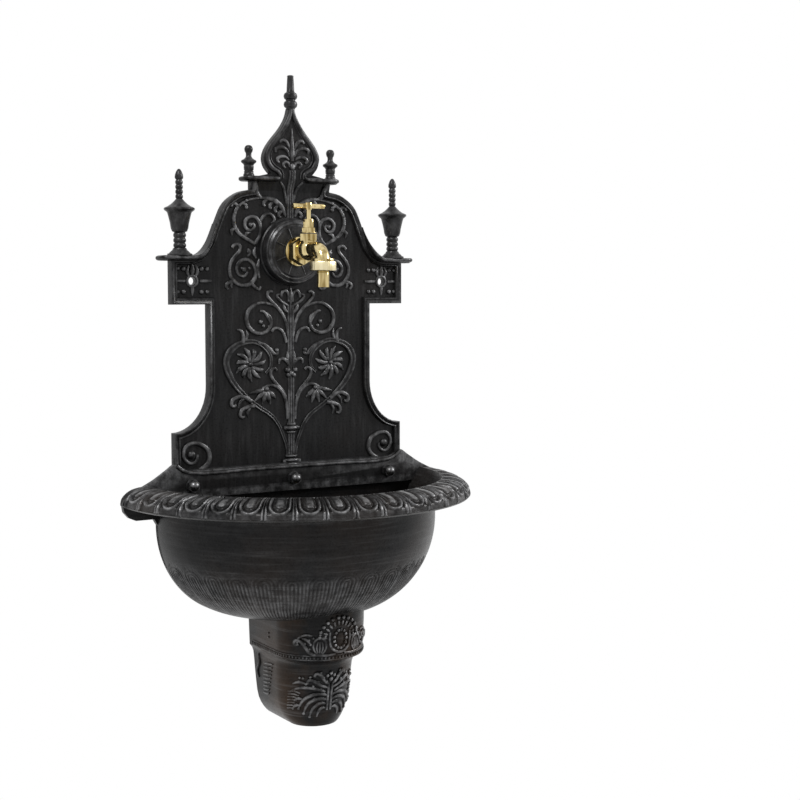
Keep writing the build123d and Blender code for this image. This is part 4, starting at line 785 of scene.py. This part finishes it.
columns = [(0.0, True), *[(math.pi * k / (EGGS * EGG_STEPS), False) for k in range(EGGS * EGG_STEPS + 1)],
           (math.pi, True)]
rows, graphite_and_painted_light = [], []
walked, before = 0.0, None
for r, z in inside + outside:
    on_rim, on_bowl = (r, z) in rim_run, (r, z) in bowl_run
    if before and (on_rim or (on_bowl and before in bowl_run)):
        walked += math.hypot(r - before[0], z - before[1])
    else:
        walked = 0.0
    before = (r, z)
    row = []
    for a, at_wall in columns:
        # Painted shade and light on the bowl, inside and out: below the rim the graphite share is least
        # at the top, a painted shade where the rim's shadow falls, and grows towards the foot as painted
        # light.
        lift, shine = 0.0, 0.02 + 0.1 * ramp(-z, 300, 392) if z < -263 else 0.08
        if on_rim and not at_wall:
            lift = egg_height(abs(a * EGGS / math.pi % 1 - 0.5) * 2 * EGG_HALF, walked)
            # Graphite on the crests of the eggs and darts, with a painted highlight on top: lighter down
            # each egg towards the nose, and a painted highlight band along the nose.
            shine = (0.3 + 0.55 * ramp(walked, 4, 30)) * ramp(lift, -1.4, 0.0)
            shine += 0.16 * ramp(walked, 29, 37)
        elif on_bowl and not at_wall:
            lift = arch_height(abs(a * ARCHES / math.pi % 1 - 0.5) * 2 * ARCH_HALF, walked - ARCH_FROM)
            shine += 0.3 * ramp(lift, -0.7, 0.0) * ramp(walked, 46, 62)
        reach = r + lift
        y = 0.0 if at_wall else BASIN_Y - reach * math.sin(a)
        row.append((reach * math.cos(a), y, z + lift * (0.7 if on_rim else 0.25)))
        graphite_and_painted_light.append(shine)
    rows.append(row)
bowl = skin("bowl", rows, close=False)
bowl.data.attributes.new("proud_and_painted_light", "FLOAT", "POINT").data.foreach_set("value", graphite_and_painted_light)
face_out(bowl, 50)

back_right = [(0, -225), (158, -225), (178, -233), (196, -238.6), (207, -243), (213, -248),
              (214.8, -252.5), (213, -262), (207, -269), (199, -272.5), (177, -272.5), (172.5, -280),
              *bowl_run[1:], (0, BOWL_FOOT)]
back_wall = cast_slab("back_wall", back_right, 0, BACK_WALL_Y, [(0.4, 0.4)])
basin = one_casting("basin_casting", [bowl, back_wall])
basin_iron = rubbed_iron("basin_iron", (12, 12, 300), 0.005, 0.022, 0.16, 0.08)
basin.data.materials.append(basin_iron)
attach(basin, "fountain")
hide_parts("basin")


# Pedestal: a hollow iron bracket bolted up under the basin, U-shaped in plan and open to the wall behind.
# Its collar ends in a row of dentils, and cast ornament stands on its front and sides.

PEDESTAL_LEVELS = [(-394, 55.2, 126), (-430, 54.0, 123.8), (-435, 53.8, 123.5), (-439, 50.6, 113.5),
                   (-444, 49.0, 107), (-450, 48.3, 104.2), (-475, 46.2, 100.2), (-492, 44.2, 97.2),
                   (-501, 42.2, 95.6), (-508, 39.2, 93.8), (-514, 35.4, 91.8), (-518.5, 31.6, 89.8),
                   (-521, 29, 88)]
SHELL_LEVELS = (-396, -404, -414, -424, -430, -433, -435, -437, -439, -441.5, -444, -447, -450, -460,
                -470, -480, -488, -492, -496.5, -501, -504.5, -508, -511, -514, -516.5, -518.5, -521)
SHELL_SHINE = 0.015
TOP_INSET = 5.4
TOP_FOOT = -402.0
MEDALLION_Z = -409.5
MEDALLION_SHINE = 0.02
RAYS = 12
DENTIL_PITCH = 4.3
BUD_X = 24
BUD_Z = -417
BUD = [(-2.4, -9.6), (-6.2, -4.4), (-7.2, 2.4), (-4.6, 7.8), (0, 9.8), (4.6, 7.8), (7.2, 2.4),
       (6.2, -4.4), (2.4, -9.6)]


def pedestal_plan(z, inset=0.0):
    """Half width and front of the pedestal at one level."""
    for (high, w1, f1), (low, w2, f2) in zip(PEDESTAL_LEVELS, PEDESTAL_LEVELS[1:]):
        if z >= low:
            t = (high - z) / (high - low)
            return w1 + (w2 - w1) * t - inset, f1 + (f2 - f1) * t - inset
    return PEDESTAL_LEVELS[-1][1] - inset, PEDESTAL_LEVELS[-1][2] - inset


def on_pedestal(along, z, lift, inset=0.0):
    """A point on the pedestal, by its distance along the surface from the middle of the front."""
    half, front = pedestal_plan(z, inset)
    quarter = half * math.pi / 2
    if abs(along) <= quarter:
        a = along / half
        return ((half + lift) * math.sin(a), -(front - half) - (half + lift) * math.cos(a), z)
    side = math.copysign(1, along)
    return (side * (half + lift), -(front - half) + abs(along) - quarter, z)


def bowl_underside(x, y):
    """Level of the bowl's outside above a point."""
    r = math.hypot(x, y - BASIN_Y)
    if r < FLOOR_R:
        return BOWL_FOOT
    return BOWL_TOP - BOWL_DEPTH * math.sqrt(1 - ((r - FLOOR_R) / BOWL_REACH) ** 2)


def pedestal_ring(z):
    """Outside and inside of the pedestal's wall at one level, from one end to the other and back."""
    ring = []
    for inset, order in ((0.0, 1), (WALL_THICK, -1)):
        half, front = pedestal_plan(z, inset)
        reach = half * math.pi / 2 + front - half
        loop = [on_pedestal(reach * (k / 60 - 1), z, 0.0, inset) for k in range(121)]
        ring += loop[::order]
    return ring


rings = [[(x, y, bowl_underside(x, y) + 2) for x, y, _ in pedestal_ring(BOWL_FOOT)]]
rings += [pedestal_ring(z) for z in SHELL_LEVELS]
shell = face_out(skin("pedestal_shell", rings))
mark_proud(shell, lambda out: SHELL_SHINE)
plan = [on_pedestal(k, BOWL_FOOT - 0.2, 0, TOP_INSET) for k in range(-145, 146, 5)]
top_rings = [[(x, y, z) for x, y, _ in plan if y < -0.5] for z in (TOP_FOOT, BOWL_FOOT - 0.1)]
top_plate = face_out(skin("pedestal_top", top_rings))


def wrap(piece):
    """Lays a flat carving, drawn along the surface, round the pedestal."""
    for v in piece.data.vertices:
        v.co = [c * MM for c in on_pedestal(v.co.x / MM, v.co.z / MM, -v.co.y / MM)]
    return piece


def on_fan(r, k):
    """A point on one of the rays that fan out above the medallion."""
    return around(0, MEDALLION_Z, r, math.pi * (k + 0.4) / (RAYS - 0.2))


def on_oval(rx, rz, turn):
    """A point on an oval round the medallion."""
    return (rx * math.cos(turn), MEDALLION_Z + rz * math.sin(turn))


rays = [((0.8, 1.5, 1.7, 1.0), [on_fan(r, k) for r in (16, 17.8, 19.6, 21.4)]) for k in range(RAYS)]
medallion = [((1.4, 1.9, 1.4), [
    (-12.6, -401), (-13, -411), (-10, -420), (0, -425), (10, -420), (13, -411), (12.6, -401)])]
collar_lines = [((0.9, 0.9), [(12 * k, z) for k in range(-12, 13)]) for z in (-428.6, -433.4)]
dentils = [((1.25, 1.25), [(DENTIL_PITCH * k, z) for z in (-429.8, -431, -432.4)])
           for k in range(-34, 35)]
collar_leaves = [
    ((1.6, 2.4, 2.3, 1.9), [
        (5.7, -427), (20, -427.6), (34.6, -425), (40.6, -418), (47.4, -411), (53, -411), (53, -415.6),
        (48.5, -415)]),
    ((1.2, 2.0, 1.2), [(33, -404.4), (40, -403.4), (46, -405.6), (51, -409.4)]),
    ((1.2, 1.7, 1.2), [(BUD_X + x, BUD_Z + z) for x, z in BUD]),
    *[((0.9, 1.5, 0.8), [(BUD_X + lean, -425), (BUD_X + 1.7 * lean, -419), (BUD_X + 1.1 * lean, -411.6)])
      for lean in (-2, 0, 2)],
    ((1.4, 1.9, 1.2), [(35, -413.6), (40, -409), (45, -408)]),
]
foot_leaves = [
    ((1.4, 2.3, 2.6, 1.2), [(4, -481), (13, -479), (23, -481), (31, -487), (35, -496)]),
    ((1.3, 2.2, 2.5, 1.1), [(4, -486.4), (12, -484.8), (20, -487), (26, -493), (28.6, -502)]),
    ((1.2, 2.1, 2.3, 1.0), [(4, -491.8), (10, -490.6), (16, -493.6), (20, -499.4), (21.2, -506.4)]),
    ((1.1, 2.0, 2.1, 0.9), [(4, -497), (8, -496.6), (11.8, -500), (13.2, -507.6)]),
    ((1.2, 2.4, 0.8), [(31, -486), (36.5, -484.4), (41, -487)]),
    ((1.2, 2.4, 0.8), [(34, -493), (39, -493.4), (42.4, -497.5)]),
    ((1.4, 2.4, 1.8, 1.0), [(6, -477), (16, -473), (28, -471), (40, -472.6), (49, -478)]),
    ((1.4, 2.4, 1.8), [(2, -468), (8, -463), (13, -456), (18, -454), (20, -457.6)]),
    ((1.4, 2.4, 1.8), [(3, -472), (12, -468.6), (20, -463), (26, -462), (27.5, -466)]),
    ((1.2, 2.2, 1.0), [(30, -465.6), (38, -464), (45, -467)]),
    *[((0.7, 1.4, 0.6), [(35 + 1.2 * k, -478 - 3.2 * k), (43 + 0.8 * k, -476 - 3.6 * k),
                         (51, -477 - 3.6 * k)]) for k in range(7)],
    *[((0.9, 1.6, 1.0), [(82 + k, -450 - 4.8 * k), (92, -451.4 - 4.8 * k), (104, -453 - 4.8 * k)])
      for k in range(9)],
    ((1.4, 2.2, 1.4), [(121, -444), (116, -455), (121, -466), (117, -475)]),
]
foot_stem = [((1.8, 1.8), [(x, -500), (x, -484), (x, -468)]) for x in (-2.1, 2.1)]
beads = [(*on_oval(7.8, 10.8, 2 * math.pi * k / 13), 2.1, 2.6) for k in range(13)]
beads += [(*on_fan(25.2, k), 2.6, 3.2) for k in range(RAYS)]
beads += mirrored_studs([
    (31.4, -407.4, 2.0, 2.3), (36.2, -409.6, 1.9, 2.2), (34.4, -414.6, 1.9, 2.2),
    (18, -405.6, 1.8, 2.3), (24, -403.6, 1.9, 2.4), (35.6, -420.4, 1.9, 2), (41, -414, 1.7, 2),
    (50.4, -413, 2, 2), (104, -411, 1.5, 1.3), (104, -416, 1.5, 1.3), (5.4, -465, 2.5, 2.6),
    (9.6, -459.6, 2.4, 2.4), (4.4, -457.4, 2.3, 2.3), (14.6, -464, 2.2, 2.2), (20.4, -469.6, 2, 2),
    (24.5, -458, 2, 2), (33, -459.6, 1.9, 1.9), (10.6, -475, 2, 2), (29, -466.4, 2, 2),
    (37, -459, 1.8, 1.8), (12.6, -453.4, 2, 2), (35, -497, 2.2, 2.3), (28.6, -503, 2.2, 2.3),
    (21.2, -507, 2.1, 2.2), (41, -487, 2, 2), (42.4, -497.5, 2, 2)])
beads += [(0, -462, 3, 3), (0, -454.6, 2.6, 2.6)]
leaves = rays + medallion + foot_stem + mirrored(collar_leaves + foot_leaves)
boss = stud("medallion_boss", [(0, MEDALLION_Z, 4.6, 1.6, 7.4)], 0)
mark_proud(boss, lambda out: MEDALLION_SHINE)
ornament = [boss, carve("collar_band", ROUND_STRAND, 0, collar_lines + dentils, 0.4),
            carve("pedestal_leaves", ROUND_STRAND, 0, leaves, 0.8), stud("pedestal_beads", beads, 0, 2.6)]
pedestal = one_casting("pedestal_casting", [shell, top_plate, *[wrap(piece) for piece in ornament]])
pedestal_iron = rubbed_iron("pedestal_iron", (12, 12, 300), 0.004, 0.016, 0.8, 0.17)
pedestal.data.materials.append(pedestal_iron)
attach(pedestal, "fountain")
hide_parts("pedestal")


# Tap: a bib tap with a tee handle, clamped through the disc by its shank. Cast and turned in brass, with
# its edges broken and its surface bright from the polishing wheel.

def plain_metal(name, colour, painted_reflection_colour, roughness, metallic=1.0):
    """A metal or rubber whose colour swings in streaks running up and down between its own colour and a
    second one, a painted reflection of light and dark bands, with fine wheel marks.
    """
    finish, tree, shader, place = new_finish(name)
    # Painted reflection: the up-and-down streaks stand in for the light and dark bands that a polished
    # round part reflects.
    streaks = noise(tree, place, 1, 2, stretch=(190, 190, 26))
    feed(tree, shader, {
        "Base Color": blend(tree, ranged(tree, streaks, 0.42, 0.66), (*colour, 1), (*painted_reflection_colour, 1)),
        "Metallic": metallic,
        "Roughness": ranged(tree, streaks, 0, 1, roughness * 0.7, roughness * 1.3),
        "Normal": bumped(tree, noise(tree, place, 1500, 2), 0.05, 0.2 * MM),
    })
    return finish


def polished(node, body, finish, rounding):
    """A copy of a plain solid with its edges broken, as the wheel leaves them."""
    piece = bpy.data.objects.new(node + "_polished", frame["nodes"][node].data.copy())
    bpy.context.scene.collection.objects.link(piece)
    take(piece)
    if piece.data.has_custom_normals:
        bpy.ops.mesh.customdata_custom_splitnormals_clear()
    open_up(piece)
    bpy.ops.mesh.remove_doubles(threshold=MERGE / 2)
    bpy.ops.mesh.dissolve_limited(angle_limit=math.radians(1))
    close_up()
    edges = piece.modifiers.new("edges", "BEVEL")
    edges.width = rounding * MM
    edges.segments = 2
    edges.limit_method = "ANGLE"
    edges.angle_limit = math.radians(32)
    bpy.ops.object.modifier_apply(modifier="edges")
    bpy.ops.object.shade_smooth_by_angle(angle=math.radians(40))
    piece.data.materials.clear()
    piece.data.materials.append(finish)
    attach(piece, body)
    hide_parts(node)


# Brass takes a dark olive second colour for its painted reflections.
brass = plain_metal("polished_brass", (0.70, 0.575, 0.30), (0.23, 0.155, 0.045), 0.16)
pale_brass = plain_metal("pale_brass", (0.80, 0.71, 0.47), (0.66, 0.57, 0.34), 0.3)
for node, body, rounding in (("tap_body", "fountain", 0.5), ("bonnet", "fountain", 0.4),
                             ("gland_nut", "fountain", 0.4), ("spindle", "handle", 0.3),
                             ("tee_bar", "handle", 0.6), ("hose_tail", "tail", 0.4)):
    polished(node, body, brass, rounding)

NUT_Y = -88.5
NUT_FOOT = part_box("union_nut")[0][2] / MM
NUT_RIBS = 40
RIB_FROM_R = 14.5
RIB_SHARE = 0.018
nut_profile = [(7.35, 0), (13.9, 0), (14.8, 0.5), (15.2, 1.3), (15.2, 9.6), (14.8, 10.5), (13.9, 11),
               (13.45, 11), (13.45, 2.3), (7.35, 2.3), (7.35, 0)]
union_nut = turned("union_nut_ring", nut_profile, 0, NUT_Y, NUT_FOOT, 160)
for v in union_nut.data.vertices:
    x, y = v.co.x / MM, v.co.y / MM - NUT_Y
    if math.hypot(x, y) > RIB_FROM_R:
        share = 1 - RIB_SHARE * (0.5 + 0.5 * math.cos(NUT_RIBS * math.atan2(y, x)))
        v.co.x, v.co.y = x * share * MM, (y * share + NUT_Y) * MM
union_nut.data.materials.append(pale_brass)
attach(union_nut, "union")
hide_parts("union_nut")


# Fixings: the steel screws, nuts and washers that hold skirt, basin and pedestal together, the brass
# waste and inner parts of the tap, and the rubber and fibre rings that seal them. All are bought in and
# left as they come.

steel = plain_metal("dull_steel", (0.12, 0.12, 0.123), (0.07, 0.069, 0.068), 0.38)
rubber = plain_metal("black_rubber", (0.022, 0.022, 0.022), (0.035, 0.034, 0.033), 0.6, 0.0)
slots = {entry["node"]: entry["material_slot"] for entry in frame["record"]["subparts"]}
for node, piece in frame["nodes"].items():
    finish = {"brass": brass, "steel": steel, "rubber": rubber}.get(slots[node])
    if finish:
        piece.data.materials.clear()
        piece.data.materials.append(finish)


# Stage: a pale floor well below the fountain, which hangs on a wall, and soft studio light. Floor and
# surroundings show as plain white, apart from the shadow below the fountain.

WHITE = (1, 1, 1, 1)
FLOOR_Z = -0.9


def seen(tree):
    """1 where the camera looks, directly, in a reflection or through glass, and 0 elsewhere."""
    path = new_node(tree, "LightPath", {}).outputs
    straight = joined(tree, "MAXIMUM", path["Is Camera Ray"], path["Is Glossy Ray"])
    return joined(tree, "MAXIMUM", straight, path["Is Transmission Ray"])


let_go()
bpy.ops.mesh.primitive_plane_add(size=8, location=(0, 0, FLOOR_Z))
floor = bpy.context.object
floor.name = "floor"
pale, tree, shader, place = new_finish("pale_floor")
feed(tree, shader, {"Base Color": (0.85, 0.85, 0.85, 1), "Roughness": 0.9})
away = new_node(tree, "VectorMath", {0: place}, operation="LENGTH").outputs["Value"]
share = joined(tree, "MULTIPLY", seen(tree), ranged(tree, away, 0.15, 0.7))
white = new_node(tree, "Emission", {"Color": WHITE}).outputs["Emission"]
surface = new_node(tree, "MixShader", {"Fac": share, 1: shader.outputs["BSDF"], 2: white})
feed(tree, tree.nodes["Material Output"], {"Surface": surface.outputs["Shader"]})
floor.data.materials.append(pale)

world = bpy.data.worlds.new("studio")
bpy.context.scene.world = world
world.use_nodes = True
tree = world.node_tree
ambient = tree.nodes["Background"]
feed(tree, ambient, {"Color": WHITE, "Strength": 0.3})
backdrop = new_node(tree, "Background", {"Color": WHITE})
surroundings = new_node(tree, "MixShader", {"Fac": seen(tree), 1: ambient.outputs["Background"],
                                            2: backdrop.outputs["Background"]})
feed(tree, tree.nodes["World Output"], {"Surface": surroundings.outputs["Shader"]})


def softbox(name, place, aim, size, power):
    """A square soft light aimed at a point."""
    lamp = bpy.data.lights.new(name, "AREA")
    lamp.size = size
    lamp.energy = power
    holder = bpy.data.objects.new(name, lamp)
    bpy.context.scene.collection.objects.link(holder)
    holder.location = place
    holder.rotation_euler = (Vector(place) - Vector(aim)).to_track_quat("Z", "Y").to_euler()


softbox("key", (-1.3, -0.95, 1.75), (0, -0.05, -0.1), 0.5, 44)
softbox("fill", (1.75, -0.8, 0.75), (0, -0.05, -0.15), 0.6, 36)

camera = bpy.data.objects.new("camera", bpy.data.cameras.new("camera"))
camera.data.lens = 65.25
camera.data.sensor_width = 36
camera.location = (-0.8118, -1.5522, -0.0082)
camera.rotation_euler = (math.radians(90 - 4.41), 0, math.radians(-32.04))
bpy.context.scene.collection.objects.link(camera)
bpy.context.scene.camera = camera
bpy.context.scene.view_settings.view_transform = "Standard"
